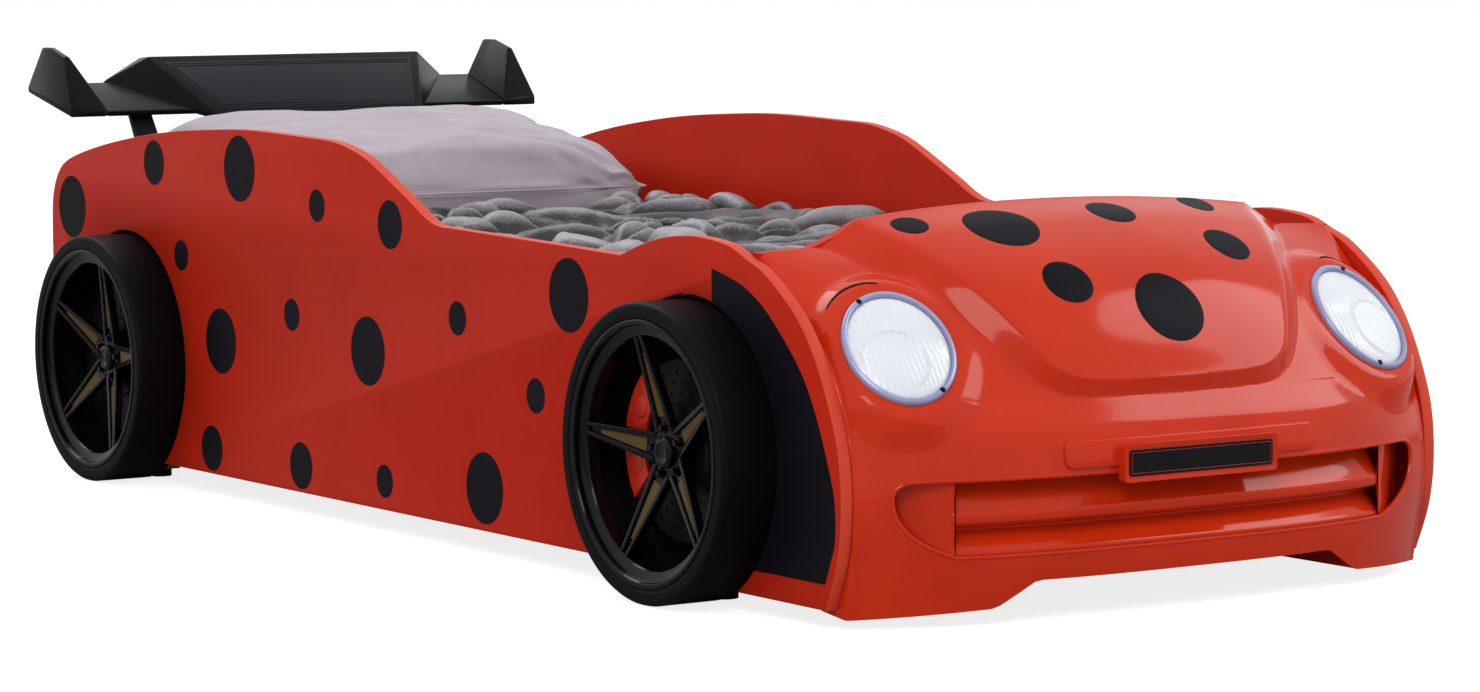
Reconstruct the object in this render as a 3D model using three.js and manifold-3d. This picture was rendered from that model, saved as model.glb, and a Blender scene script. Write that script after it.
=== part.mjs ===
// A child's car bed in the shape of a ladybug car.
// Millimetres, +Z up. X runs across the bed, the bonnet points along -Y, and the bed stands on Z = 0.
// The origin is on the floor under the middle of the bed's overall box. Left is the driver's left, +X.
import * as THREE from 'three';
import { ConvexGeometry } from 'three/addons/geometries/ConvexGeometry.js';
import { mergeVertices } from 'three/addons/utils/BufferGeometryUtils.js';
import Module from 'manifold-3d';

// Fits
const seatGap = 0.3;
const fitGap = 0.5;
const overrun = 20;

// Side panels: one board each, cut to a car's outline
const panelThickness = 18;
const panelOverhang = 251;
const panelOverArch = 171.5;
const panelBottomZ = 34;
const panelRearY = 1090.5;
const roofShares = [
  [0, 0.62], [0.001, 0.731], [0.005, 0.789], [0.012, 0.832], [0.022, 0.862], [0.039, 0.886],
  [0.073, 0.916], [0.121, 0.947], [0.186, 0.977], [0.25, 0.993], [0.313, 1], [0.393, 0.991],
  [0.425, 0.986], [0.447, 0.973], [0.4685, 0.951], [0.4885, 0.918], [0.528, 0.843], [0.549, 0.801],
  [0.565, 0.783], [0.588, 0.779], [0.7, 0.766], [0.777, 0.7556],
];
const noseShares = [
  [0.777, 0.7556], [0.799, 0.785], [0.821, 0.8067], [0.842, 0.817], [0.863, 0.818], [0.89, 0.8055],
  [0.908, 0.778], [0.928, 0.7434], [0.957, 0.657], [0.976, 0.56], [0.99, 0.4436], [0.998, 0.3365],
  [1, 0.2145], [0.996, 0.0975], [0.985, -0.0185],
];
const roofSteps = 26;
const noseSteps = 22;

// Thin film on the panels
const filmThickness = 0.6;
const fenderShares = [
  [0.8745, 0.7461], [0.89, 0.7313], [0.908, 0.7082], [0.928, 0.662], [0.952, 0.5747], [0.967, 0.5019],
  [0.978, 0.4208], [0.987, 0.3325], [0.994, 0.2432], [0.9947, 0.1519], [0.991, 0.1037], [0.985, 0.0431],
];

// Wheels
const tyreRadius = 194;
const tyreLift = 0.5;
const caliperClearance = 11.5;
const sidewall = 22;
const tyreShoulder = 5;
const archGap = 6;
const frontAxleFromNose = 336.9;
const rearAxleFromRear = 277.4;
const wheelSteps = 24;
const drumWall = 4;
const drumFloor = 4;
const drumInset = 30;
const rimLip = 8;
const rimBand = 14;
const hubRadius = 36;
const hubRecess = 38;
const rimRecess = 9;
const spokeDepth = 13;
const spokeCount = 5;
const frontSpokeTurn = 79.6;
const rearSpokeTurn = 102.6;
const spokeRootHalf = 20;
const spokeTipHalf = 8;
const ribWidth = 9;
const wedgeStart = 16;
const wedgeLength = 82;
const postRadius = 30;
const discRadius = 118;
const discThickness = 7;
const discStandoff = 12;
const caliperSpan = 1.5;
const caliperBand = 40;
const caliperDepth = 7;
const frontCaliperTurn = 9;
const rearCaliperTurn = 180;
const capRadius = 19;
const capHeight = 6;
const capRoot = 5;
const capSides = 10;

// Frame
const headboardFromPanelEnd = 15;
const boardThickness = 18;
const headboardRise = 428;
const boardBottomZ = 60;
const linerThickness = 12;
const linerTopZ = 252;
const cleatWidth = 30;
const cleatHeight = 45;
const slatThickness = 18;
const slatWidth = 88;
const slatCount = 14;
const slatBearing = 22;
const strapX = 250;
const strapWidth = 30;
const strapThickness = 2;
const beamWidth = 40;
const beamHeight = 60;
const legSide = 45;
const glideHeight = 12;
const glideRadius = 17;
const glideSides = 12;

// Bedding
const mattressWidth = 900;
const mattressLength = 2000;
const mattressSideGap = 2.7;
const mattressEndGap = 1.5;
const mattressHeight = 160;
const mattressCorner = 40;
const mattressEdge = 12;
const slatTopZ = 214.7;
const blanketInset = 16;
const blanketBase = 9;
const blanketLoft = 20;
const blanketFold = 38;
const blanketEnd = 12;
const blanketColumns = 20;
const blanketRows = 50;
const foldsAlong = 9;
const foldsAcross = 3.4;
const foldSway = 1.5;
const foldPower = 1.6;
const foldFadeAcross = 6;
const foldFadeAlong = 12;
const ridgeShare = 0.55;
const pillowSpare = 160;
const pillowDepth = 394;
const pillowShift = 25;
const pillowSetback = 6;
const pillowSeamRise = 56;
const pillowTilt = 74;
const pillowCrown = 70;
const pillowBelly = 108;
const pillowDrawShare = 0.05;
const pillowColumns = 20;
const pillowRows = 14;

// Front moulding
const skin = 4;
const bumperReach = 289;
const bonnetTopZ = 462;
const skirtZ = 54;
const planPower = 3;
const sideProfileShares = [
  [0, 0.98], [0.11, 0.907], [0.262, 0.799], [0.414, 0.689], [0.545, 0.556], [0.638, 0.441],
  [0.686, 0.304], [0.693, 0.162], [0.669, 0.076], [0.621, 0],
];
const middleProfileShares = [
  [0, 1], [0.228, 0.956], [0.49, 0.858], [0.693, 0.713], [0.834, 0.561], [0.952, 0.436],
  [0.99, 0.333], [0.997, 0.186], [0.997, 0.076], [0.986, 0],
];
const footWidth = 172.5;
const footRamp = 55;
const footRiseZ = 22;
const footEndZ = 12;
const flangeDepth = 34;
const normalStepShare = 0.0025;

// Raised bonnet: its crest and its foot, as shares of its half-width, each at a share down the profile
const bonnetInset = 146.5;
const crestShares = [
  [0, 1], [0.11, 0.925], [0.22, 0.811], [0.33, 0.686],
  [0.375, 0.635], [0.41, 0.579], [0.43, 0.513], [0.44, 0.447],
];
const bonnetFootShares = [
  [0, 1.17], [0.11, 1.085], [0.22, 0.934], [0.33, 0.786],
  [0.39, 0.698], [0.42, 0.645], [0.445, 0.575], [0.465, 0.503],
];
const bonnetLift = 29.5;
const bonnetNoseLift = 18;
const bonnetCrown = 14.5;
const noseCrestShare = 0.44;
const noseFootShare = 0.465;
const upliftShare = 0.25;
const profileRowShares = [
  0, 0.05, 0.111, 0.17, 0.222, 0.28, 0.333, 0.375, 0.41, 0.44, 0.465, 0.5, 0.55, 0.61, 0.67,
  0.75, 0.83, 0.889, 0.945, 1,
];
const crestColumns = 5;
const wallColumns = 1;
const wingColumns = 7;
const skirtShare = 0.889;

// Headlights
const lampSideGap = 16.5;
const lampFromNose = 120;
const lampAboveGrille = 158;
const lampHalfWidth = 74;
const lampHalfHeight = 85;
const lampTurn = 12;
const lampTilt = 40;
const lampSeatInnerShare = 1.12;
const lampSeatOuterShare = 1.6;
const lampSeatMargin = 14;
const bezelWidth = 7;
const bezelProud = 7;
const bezelDepth = 30;
const lensDome = 11;
const lensDomeShares = [[1, 0], [0.86, 0.4], [0.6, 0.78], [0.3, 0.95], [0, 1]];
const lensBackShares = [[0, 1], [0.58, 0.78]];
const lensWall = 3;
const lensRim = 6;
const lampSteps = 24;
const bowlDepth = 46;
const bowlWall = 3;
const bowlThroat = 20;
const bowlOuterShares = [[0.82, 0.45], [0.55, 0.8]];
const bowlInnerShares = [[0.5, 0.7], [0.76, 0.4]];
const ledDepth = 9;
const ledRadius = 26;

// Grille and number plate
const grilleBottomZ = 87;
const grilleHeight = 96;
const grilleEndGap = 43.5;
const grilleTopDraw = 31;
const grilleBulgeDrop = 23;
const grilleBottomDraw = 78;
const grilleLevelShare = 0.74;
const grilleDepth = 34;
const grilleWall = 4;
const grilleLap = 6;
const dividerOutset = 3;
const dividerWidth = 8;
const dividerInset = 2;
const dividerFoot = 4;
const upperSlotHeight = 41;
const grilleBarHeight = 16;
const grilleBarInset = 12;
const plateHalfWidth = 117;
const plateDrop = 61.65;
const plateHeight = 36;
const plateRim = 6;
const plateProud = 12.7;
const plateDepth = 2;

// Rear wing, measured back from the headboard's rear face
const wingSideInset = 41;
const wingNose = 21.5;
const wingStand = 75;
const wingChord = 122;
const wingRise = 53;
const wingThickness = 9;
const boxNose = -16.5;
const boxNoseDraw = 64;
const boxTop = 111;
const boxTopDraw = 68;
const boxRise = 95;
const boxTail = 150;
const boxTailInset = 51;
const boxDepth = 34;
const boxTopFall = 2.4;
const badgeBottomMargin = 8;
const badgeTopMargin = 24;
const badgeBottomRise = 14;
const badgeTopRise = 142;
const badgeThickness = 2;
const badgeSink = 2.5;
const finRootInset = 65;
const finNoseHeight = 15;
const finTail = 168.5;
const finTailRise = 37.7;
const finTailHeight = 9.5;
const finBend = 53;
const finBendRise = 98;
const finTipRise = 112.5;
const finTipFront = 107.7;
const finTipRear = 139.5;
const finTipInset = 14;
const finWidth = 9;

const strutInset = 73;
const strutWidth = 40;
const strutThickness = 12;
const strutFootLow = 90;
const strutKneeDrop = 12;
const strutReach = 53;

// Places worked out from the sizes
const panelInner = mattressWidth / 2 + mattressSideGap + linerThickness + seatGap;
const panelOuter = panelInner + panelThickness;
const wellLength = mattressLength + 2 * mattressEndGap;
const panelLength = wellLength + panelOverhang;
const frontAxleY = panelRearY - panelLength + frontAxleFromNose;
const rearAxleY = panelRearY - rearAxleFromRear;
const headRearY = panelRearY - headboardFromPanelEnd;
const headFrontY = headRearY - boardThickness;
const footRearY = headFrontY - wellLength;
const footFrontY = footRearY - boardThickness;
const linerOuter = panelInner - seatGap;
const linerInner = linerOuter - linerThickness;
const slatBottomZ = slatTopZ - slatThickness;
const cleatTopZ = slatBottomZ - seatGap;
const cleatBottomZ = cleatTopZ - cleatHeight;
const legTopZ = cleatBottomZ - seatGap;
const mattressBottomZ = slatTopZ + seatGap;
const mattressTopZ = mattressBottomZ + mattressHeight;
const blanketBottomZ = mattressTopZ + seatGap;
const pillowBottomZ = blanketBottomZ + blanketBase + seatGap;
const mattressY = (headFrontY + footRearY) / 2;
const axleZ = tyreRadius + tyreLift;
const archRadius = tyreRadius + archGap;
const panelRise = axleZ + archRadius + panelOverArch - panelBottomZ;
const postDrop = hubRecess + spokeDepth + seatGap;
const caliperDrop = postDrop + discStandoff + discThickness + seatGap + caliperDepth;
const wheelBack = panelInner + seatGap;
const wheelFace = wheelBack + caliperDrop + caliperClearance + drumFloor;
const rimRadius = tyreRadius - sidewall;
const fasciaRearY = footFrontY - seatGap;
const fasciaHalf = panelInner - fitGap;
const footOuter = fasciaHalf - footWidth;
const footInner = footOuter - footRamp;
const bonnetHalf = fasciaHalf - bonnetInset;
const lampX = fasciaHalf - lampSideGap - lampHalfWidth;
const lampAhead = bumperReach - lampFromNose;
const grilleTopZ = grilleBottomZ + grilleHeight;
const lampZ = grilleTopZ + lampAboveGrille;
const grilleBulgeZ = grilleTopZ - grilleBulgeDrop;
const grilleBulgeHalf = fasciaHalf - grilleEndGap;
const grilleTopHalf = grilleBulgeHalf - grilleTopDraw;
const grilleBottomHalf = grilleBulgeHalf - grilleBottomDraw;
const dividerHalf = grilleBottomHalf + dividerOutset;
const grilleBarTopZ = grilleTopZ - upperSlotHeight;
const grilleBarBottomZ = grilleBarTopZ - grilleBarHeight;
const headTopZ = boardBottomZ + headboardRise;
const wingNoseZ = headTopZ + wingStand;
const wingHalf = panelOuter - wingSideInset;
const finRootHalf = wingHalf - finRootInset;
const finTipHalf = wingHalf - finTipInset;
const boxTailHalf = finRootHalf - boxTailInset;
const boxTopHalf = boxTailHalf - boxTopDraw;
const boxNoseHalf = boxTopHalf - boxNoseDraw;
const badgeTopHalf = boxTopHalf - badgeTopMargin;
const badgeBottomHalf = boxNoseHalf - badgeBottomMargin;
const strutX = finRootHalf - strutInset;
const finTailZ = wingNoseZ + finTailRise;
const finBendZ = wingNoseZ + finBendRise;
const finTipZ = wingNoseZ + finTipRise;
const boxTopZ = wingNoseZ + boxRise;

const wasm = await Module();
wasm.setup();

const bed = new THREE.Group();
const finishes = {
  redBoard: new THREE.MeshStandardMaterial({ color: 0xb8301f, roughness: 0.5 }),
  redGloss: new THREE.MeshStandardMaterial({ color: 0xd23a20, roughness: 0.15 }),
  blackFilm: new THREE.MeshStandardMaterial({ color: 0x1c1c22, roughness: 0.4 }),
  blackGloss: new THREE.MeshStandardMaterial({ color: 0x141416, roughness: 0.15 }),
  blackSatin: new THREE.MeshStandardMaterial({ color: 0x1e1e22, roughness: 0.5 }),
  tyre: new THREE.MeshStandardMaterial({ color: 0x18181a, roughness: 0.85 }),
  bronze: new THREE.MeshStandardMaterial({ color: 0x75603c, roughness: 0.35, metalness: 0.6 }),
  steel: new THREE.MeshStandardMaterial({ color: 0x8d8f92, roughness: 0.35, metalness: 1 }),
  discSteel: new THREE.MeshStandardMaterial({ color: 0x34363a, roughness: 0.4, metalness: 0.9 }),
  caliperRed: new THREE.MeshStandardMaterial({ color: 0xc02318, roughness: 0.3 }),
  chrome: new THREE.MeshStandardMaterial({ color: 0xc9cbdc, roughness: 0.12, metalness: 1 }),
  lens: new THREE.MeshStandardMaterial({
    color: 0xeef2fb, roughness: 0.08, opacity: 0.4, transparent: true,
  }),
  lamp: new THREE.MeshStandardMaterial({ color: 0xffffff, roughness: 0.3 }),
  pine: new THREE.MeshStandardMaterial({ color: 0xd9b98a, roughness: 0.6 }),
  glide: new THREE.MeshStandardMaterial({ color: 0x2b2b2d, roughness: 0.7 }),
  ticking: new THREE.MeshStandardMaterial({ color: 0xe9e6e0, roughness: 0.9 }),
  plush: new THREE.MeshStandardMaterial({ color: 0x7b7b82, roughness: 0.95 }),
  pillowCotton: new THREE.MeshStandardMaterial({ color: 0xbdb3bd, roughness: 0.9 }),
};

function add(name, geometry, finish) {
  const mesh = new THREE.Mesh(geometry, finish);
  mesh.name = name;
  bed.add(mesh);
  return mesh;
}

function positionsOnly(geometry) {
  const plain = geometry.index ? geometry.toNonIndexed() : geometry.clone();
  for (const name of Object.keys(plain.attributes)) {
    if (name !== 'position') plain.deleteAttribute(name);
  }
  return plain;
}

function mirrored(geometry) {
  const copy = positionsOnly(geometry);
  copy.scale(-1, 1, 1);
  const places = copy.getAttribute('position');
  const corner = new THREE.Vector3();
  const other = new THREE.Vector3();
  for (let i = 0; i < places.count; i += 3) {
    corner.fromBufferAttribute(places, i + 1);
    other.fromBufferAttribute(places, i + 2);
    places.setXYZ(i + 1, other.x, other.y, other.z);
    places.setXYZ(i + 2, corner.x, corner.y, corner.z);
  }
  return copy;
}

function solidOf(geometry) {
  const merged = mergeVertices(positionsOnly(geometry));
  return new wasm.Manifold(new wasm.Mesh({
    numProp: 3,
    vertProperties: new Float32Array(merged.getAttribute('position').array),
    triVerts: new Uint32Array(merged.index.array),
  }));
}

function geometryOf(solid) {
  const mesh = solid.getMesh();
  const geometry = new THREE.BufferGeometry();
  const places = new Float32Array(mesh.numVert * 3);
  for (let i = 0; i < mesh.numVert; i += 1) {
    const from = mesh.numProp * i;
    places.set(mesh.vertProperties.subarray(from, from + 3), 3 * i);
  }
  geometry.setAttribute('position', new THREE.BufferAttribute(places, 3));
  geometry.setIndex([...mesh.triVerts]);
  return geometry;
}

function block(x0, x1, y0, y1, z0, z1) {
  const box = new THREE.BoxGeometry(Math.abs(x1 - x0), Math.abs(y1 - y0), Math.abs(z1 - z0));
  return box.translate((x0 + x1) / 2, (y0 + y1) / 2, (z0 + z1) / 2);
}

// A flat outline in Y and Z, given a thickness along X from x0 to x1
function sheetAlongX(shape, x0, x1, steps = 12) {
  const sheet = new THREE.ExtrudeGeometry(shape, {
    depth: Math.abs(x1 - x0), bevelEnabled: false, curveSegments: steps,
  });
  sheet.rotateX(Math.PI / 2);
  sheet.rotateZ(Math.PI / 2);
  return sheet.translate(Math.min(x0, x1), 0, 0);
}

// A flat outline in X and Z, given a thickness along Y from y0 to y1
function sheetAlongY(shape, y0, y1, steps = 12) {
  const sheet = new THREE.ExtrudeGeometry(shape, {
    depth: Math.abs(y1 - y0), bevelEnabled: false, curveSegments: steps,
  });
  sheet.rotateX(Math.PI / 2);
  return sheet.translate(0, Math.max(y0, y1), 0);
}

function rod(radius, length, sides) {
  return new THREE.CylinderGeometry(radius, radius, length, sides);
}

function addPair(name, geometry, finish) {
  add(`${name}_left`, geometry, finish);
  add(`${name}_right`, mirrored(geometry), finish);
}

function panelPoint([along, up]) {
  return new THREE.Vector2(panelRearY - along * panelLength, panelBottomZ + up * panelRise);
}

function sidePanelShape() {
  const roof = new THREE.SplineCurve(roofShares.map(panelPoint)).getPoints(roofSteps);
  const nose = new THREE.SplineCurve(noseShares.map(panelPoint)).getPoints(noseSteps);
  const frontFoot = nose[nose.length - 1];
  const shape = new THREE.Shape();
  shape.moveTo(panelRearY, panelBottomZ);
  for (const point of [...roof, ...nose.slice(1)]) shape.lineTo(point.x, point.y);
  for (const [axleY, edgeZ, farEdgeZ] of [
    [frontAxleY, frontFoot.y, panelBottomZ], [rearAxleY, panelBottomZ, panelBottomZ]]) {
    const from = Math.PI + Math.asin((axleZ - edgeZ) / archRadius);
    const to = -Math.asin((axleZ - farEdgeZ) / archRadius);
    shape.absarc(axleY, axleZ, archRadius, from, to, true);
  }
  shape.closePath();
  return shape;
}

function fenderShape() {
  const line = new THREE.SplineCurve(fenderShares.map(panelPoint)).getPoints(fenderShares.length);
  const radius = archRadius + fitGap;
  const rear = line[0].x - frontAxleY;
  const shape = new THREE.Shape();
  shape.moveTo(line[0].x, axleZ + Math.sqrt(radius * radius - rear * rear));
  for (const point of line) shape.lineTo(point.x, point.y);
  const from = Math.PI + Math.asin((axleZ - line[line.length - 1].y) / radius);
  const to = Math.acos(rear / radius);
  shape.absarc(frontAxleY, axleZ, radius, from, to, true);
  shape.closePath();
  return shape;
}

function makeSidePanels() {
  addPair('side_panel', sheetAlongX(sidePanelShape(), panelInner, panelOuter, 9), finishes.redBoard);
  const filmInner = panelOuter + seatGap;
  const filmOuter = filmInner + filmThickness;
  addPair('fender_film', sheetAlongX(fenderShape(), filmInner, filmOuter, 8), finishes.blackFilm);
}

function makeFrame() {
  const headboard = block(-linerOuter, linerOuter, headFrontY, headRearY, boardBottomZ, headTopZ);
  add('headboard', headboard, finishes.redBoard);
  const y0 = footRearY + seatGap;
  const y1 = headFrontY - seatGap;
  const liner = block(linerInner, linerOuter, y0, y1, boardBottomZ, linerTopZ);
  addPair('liner_board', liner, finishes.blackSatin);
  const cleatOuter = linerInner - seatGap;
  const cleatInner = cleatOuter - cleatWidth;
  addPair('slat_cleat', block(cleatInner, cleatOuter, y0, y1, cleatBottomZ, cleatTopZ), finishes.pine);
  const halfBeam = beamWidth / 2;
  const beamBottomZ = cleatTopZ - beamHeight;
  add('centre_beam', block(-halfBeam, halfBeam, y0, y1, beamBottomZ, cleatTopZ), finishes.pine);

  const reach = cleatInner + slatBearing;
  const pitch = (y1 - y0 - slatWidth) / (slatCount - 1);
  const pieces = [];
  for (let i = 0; i < slatCount; i += 1) {
    const y = y0 + i * pitch;
    pieces.push(solidOf(block(-reach, reach, y, y + slatWidth, slatBottomZ, slatTopZ)));
  }
  for (const side of [-1, 1]) {
    const x = side * strapX;
    const half = strapWidth / 2;
    const middleZ = (slatBottomZ + slatTopZ) / 2;
    pieces.push(solidOf(block(x - half, x + half, y0, y1, middleZ, middleZ + strapThickness)));
  }
  add('slat_roll', geometryOf(wasm.Manifold.union(pieces)), finishes.pine);

  const legOuter = linerInner - seatGap;
  const corners = [['rear', rearAxleY - legSide / 2], ['front', frontAxleY - legSide / 2]];
  for (const [name, y] of corners) {
    const leg = block(legOuter - legSide, legOuter, y, y + legSide, glideHeight + seatGap, legTopZ);
    addPair(`leg_${name}`, leg, finishes.pine);
    const glide = rod(glideRadius, glideHeight, glideSides).rotateX(Math.PI / 2);
    glide.translate(legOuter - legSide / 2, y + legSide / 2, glideHeight / 2);
    addPair(`glide_${name}`, glide, finishes.glide);
  }
  const half = legSide / 2;
  const y = mattressY - half;
  const middleLeg = block(-half, half, y, y + legSide, glideHeight + seatGap, beamBottomZ - seatGap);
  add('leg_middle', middleLeg, finishes.pine);
  const glide = rod(glideRadius, glideHeight, glideSides).rotateX(Math.PI / 2);
  add('glide_middle', glide.translate(0, mattressY, glideHeight / 2), finishes.glide);
}

// A turned piece about its own Y axis, from a closed outline of radius and height
function turned(points, steps) {
  const outline = points.map(([radius, height]) => new THREE.Vector2(radius, height));
  if (THREE.ShapeUtils.area(outline) < 0) outline.reverse();
  return new THREE.LatheGeometry([...outline, outline[0]], steps);
}

// The dished front of the wheel: how far a point lies behind the wheel's outer plane
function dish(radius) {
  const share = Math.min(1, Math.max(0, (radius - hubRadius) / (rimRadius - hubRadius)));
  return hubRecess + (rimRecess - hubRecess) * share;
}

function spokeOutline(firstTurn) {
  const shape = new THREE.Shape();
  const root = hubRadius * Math.cos(spokeRootHalf / hubRadius);
  const tip = rimRadius - rimLip;
  for (let i = 0; i < spokeCount; i += 1) {
    const turn = firstTurn + (i * 2 * Math.PI) / spokeCount;
    const along = new THREE.Vector2(Math.cos(turn), Math.sin(turn));
    const across = new THREE.Vector2(-along.y, along.x);
    const place = (reach, side) => along.clone().multiplyScalar(reach).addScaledVector(across, side);
    const arm = [
      place(root, -spokeRootHalf), place(tip, -spokeTipHalf), place(tip, spokeTipHalf),
      place(root, spokeRootHalf),
    ];
    if (i === 0) shape.moveTo(arm[0].x, arm[0].y);
    for (const point of arm) shape.lineTo(point.x, point.y);
    const halfAt = (reach) => spokeRootHalf
      + ((spokeTipHalf - spokeRootHalf) * (reach - root)) / (tip - root) - ribWidth;
    const start = root + wedgeStart;
    const end = start + wedgeLength;
    const slot = new THREE.Path();
    const wedge = [
      place(start, -halfAt(start)), place(end, -halfAt(end)), place(end, halfAt(end)),
      place(start, halfAt(start)),
    ];
    slot.moveTo(wedge[0].x, wedge[0].y);
    for (const point of wedge.slice(1)) slot.lineTo(point.x, point.y);
    slot.closePath();
    shape.holes.push(slot);
  }
  shape.closePath();
  return shape;
}

// The spoked front, its outer plane at height zero and its back at negative heights
function wheelFaceGeometry(firstTurn) {
  const outline = spokeOutline(firstTurn);
  const star = new THREE.ExtrudeGeometry(outline, { depth: spokeDepth, bevelEnabled: false });
  star.translate(0, 0, -spokeDepth);
  const places = star.getAttribute('position');
  for (let i = 0; i < places.count; i += 1) {
    const radius = Math.hypot(places.getX(i), places.getY(i));
    places.setZ(i, places.getZ(i) - dish(radius));
  }
  const outer = rimRadius - fitGap;
  const lip = rimRadius - rimLip;
  const band = lip - rimBand;
  const rim = turned([
    [outer, 0], [outer, -drumInset], [band, -drumInset],
    [band, -rimRecess - spokeDepth / 2], [lip, -rimRecess], [lip, 0],
  ], wheelSteps).rotateX(Math.PI / 2);
  const capLength = capHeight + capRoot;
  const cap = rod(capRadius, capLength, capSides).rotateX(Math.PI / 2);
  cap.translate(0, 0, capHeight - hubRecess - capLength / 2);
  return geometryOf(wasm.Manifold.union([solidOf(star), solidOf(rim), solidOf(cap)]));
}

// The cup behind the spokes, with the hub post that carries them and the brake disc moulded on it
function wheelDrumGeometry() {
  const back = -(wheelFace - wheelBack);
  const outer = rimRadius - fitGap;
  const inner = outer - drumWall;
  const front = -drumInset - seatGap;
  const floor = back + drumFloor;
  const discFront = -postDrop - discStandoff;
  const discBack = discFront - discThickness;
  return turned([
    [0, back], [outer, back], [outer, front], [inner, front], [inner, floor],
    [postRadius, floor], [postRadius, discBack], [discRadius, discBack],
    [discRadius, discFront], [postRadius, discFront], [postRadius, -postDrop], [0, -postDrop],
  ], wheelSteps).rotateX(Math.PI / 2);
}

function tyreGeometry() {
  const back = -(wheelFace - wheelBack);
  const inner = rimRadius;
  const shoulder = tyreRadius - tyreShoulder;
  return turned([
    [inner, back], [shoulder, back], [tyreRadius, back + tyreShoulder], [tyreRadius, -tyreShoulder],
    [tyreRadius - tyreShoulder / 3, 0], [inner, 0],
  ], wheelSteps).rotateX(Math.PI / 2);
}

// The caliper grips the disc's rim between two cheeks
function caliperGeometry(turn) {
  const discFront = -postDrop - discStandoff;
  const arc = (low, high) => {
    const shape = new THREE.Shape();
    shape.absarc(0, 0, high, turn - caliperSpan / 2, turn + caliperSpan / 2, false);
    shape.absarc(0, 0, low, turn + caliperSpan / 2, turn - caliperSpan / 2, true);
    shape.closePath();
    return shape;
  };
  const low = discRadius - caliperBand;
  const high = discRadius + caliperDepth;
  const front = discFront + seatGap + caliperDepth;
  const back = discFront - discThickness - seatGap - caliperDepth;
  const body = new THREE.ExtrudeGeometry(arc(low, high), {
    depth: front - back, bevelEnabled: false, curveSegments: 5,
  });
  body.translate(0, 0, back);
  const slotDepth = discThickness + 2 * seatGap;
  const slot = rod(discRadius + seatGap, slotDepth, wheelSteps * 2).rotateX(Math.PI / 2);
  slot.translate(0, 0, discFront - discThickness / 2);
  return geometryOf(solidOf(body).subtract(solidOf(slot)));
}

// Turns a wheel piece, drawn facing +Z, to face +X at the left side
function onLeftSide(geometry, axleY) {
  const placed = positionsOnly(geometry);
  placed.rotateX(Math.PI / 2);
  placed.rotateZ(Math.PI / 2);
  return placed.translate(wheelFace, axleY, axleZ);
}

function makeWheels() {
  const tyre = tyreGeometry();
  const drum = wheelDrumGeometry();
  const axles = [
    ['front', frontAxleY, frontCaliperTurn, frontSpokeTurn],
    ['rear', rearAxleY, rearCaliperTurn, rearSpokeTurn],
  ];
  for (const [name, axleY, caliperTurn, spokeTurn] of axles) {
    const face = wheelFaceGeometry(THREE.MathUtils.degToRad(spokeTurn));
    const caliper = caliperGeometry(THREE.MathUtils.degToRad(caliperTurn));
    addPair(`tyre_${name}`, onLeftSide(tyre, axleY), finishes.tyre);
    addPair(`wheel_drum_${name}`, onLeftSide(drum, axleY), finishes.blackSatin);
    addPair(`wheel_face_${name}`, onLeftSide(face, axleY), finishes.blackGloss);
    addPair(`caliper_${name}`, onLeftSide(caliper, axleY), finishes.caliperRed);
  }
}

// Front moulding: its side and middle profiles run from the bonnet's rear edge down to the skirt
function fasciaPlace([ahead, up]) {
  return new THREE.Vector2(fasciaRearY - ahead * bumperReach, skirtZ + up * (bonnetTopZ - skirtZ));
}

const sideProfile = new THREE.SplineCurve(sideProfileShares.map(fasciaPlace));
const middleProfile = new THREE.SplineCurve(middleProfileShares.map(fasciaPlace));

function bonnetEdge(shares, place) {
  const next = shares.findIndex(([at]) => at >= place);
  if (next < 0) return bonnetHalf * shares[shares.length - 1][1];
  if (next === 0) return bonnetHalf * shares[0][1];
  const [placeA, shareA] = shares[next - 1];
  const [placeB, shareB] = shares[next];
  return bonnetHalf * (shareA + ((shareB - shareA) * (place - placeA)) / (placeB - placeA));
}

function skirtEdge(x) {
  const across = Math.abs(x);
  if (across <= footInner) return skirtZ;
  if (across <= footOuter) return skirtZ + ((footRiseZ - skirtZ) * (across - footInner)) / footRamp;
  return footRiseZ + ((footEndZ - footRiseZ) * (across - footOuter)) / footWidth;
}

// Where a headlight sits and which way it faces
function lampFrame(side) {
  const turn = THREE.MathUtils.degToRad(lampTurn) * side;
  const tilt = THREE.MathUtils.degToRad(lampTilt);
  const facing = new THREE.Vector3(
    Math.sin(turn) * Math.cos(tilt), -Math.cos(turn) * Math.cos(tilt), Math.sin(tilt));
  const across = new THREE.Vector3(Math.cos(turn), Math.sin(turn), 0);
  const place = new THREE.Matrix4().makeBasis(across, facing.clone().cross(across), facing);
  place.setPosition(side * lampX, fasciaRearY - lampAhead, lampZ);
  return { place, facing };
}

const lampFrames = { left: lampFrame(1), right: lampFrame(-1) };

function clampShare(value) {
  return Math.min(1, Math.max(0, value));
}

// A point of the moulding's outer face without the bonnet's relief
function bodyPoint(x, share) {
  const side = sideProfile.getPoint(share);
  const middle = middleProfile.getPoint(share);
  const bulge = 1 - (Math.abs(x) / fasciaHalf) ** planPower;
  const y = side.x + (middle.x - side.x) * bulge;
  let z = side.y + (middle.y - side.y) * bulge;
  const drop = (share - skirtShare) / (1 - skirtShare);
  if (drop > 0) z += (skirtEdge(x) - skirtZ) * drop;
  return new THREE.Vector3(x, y, z);
}

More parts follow.
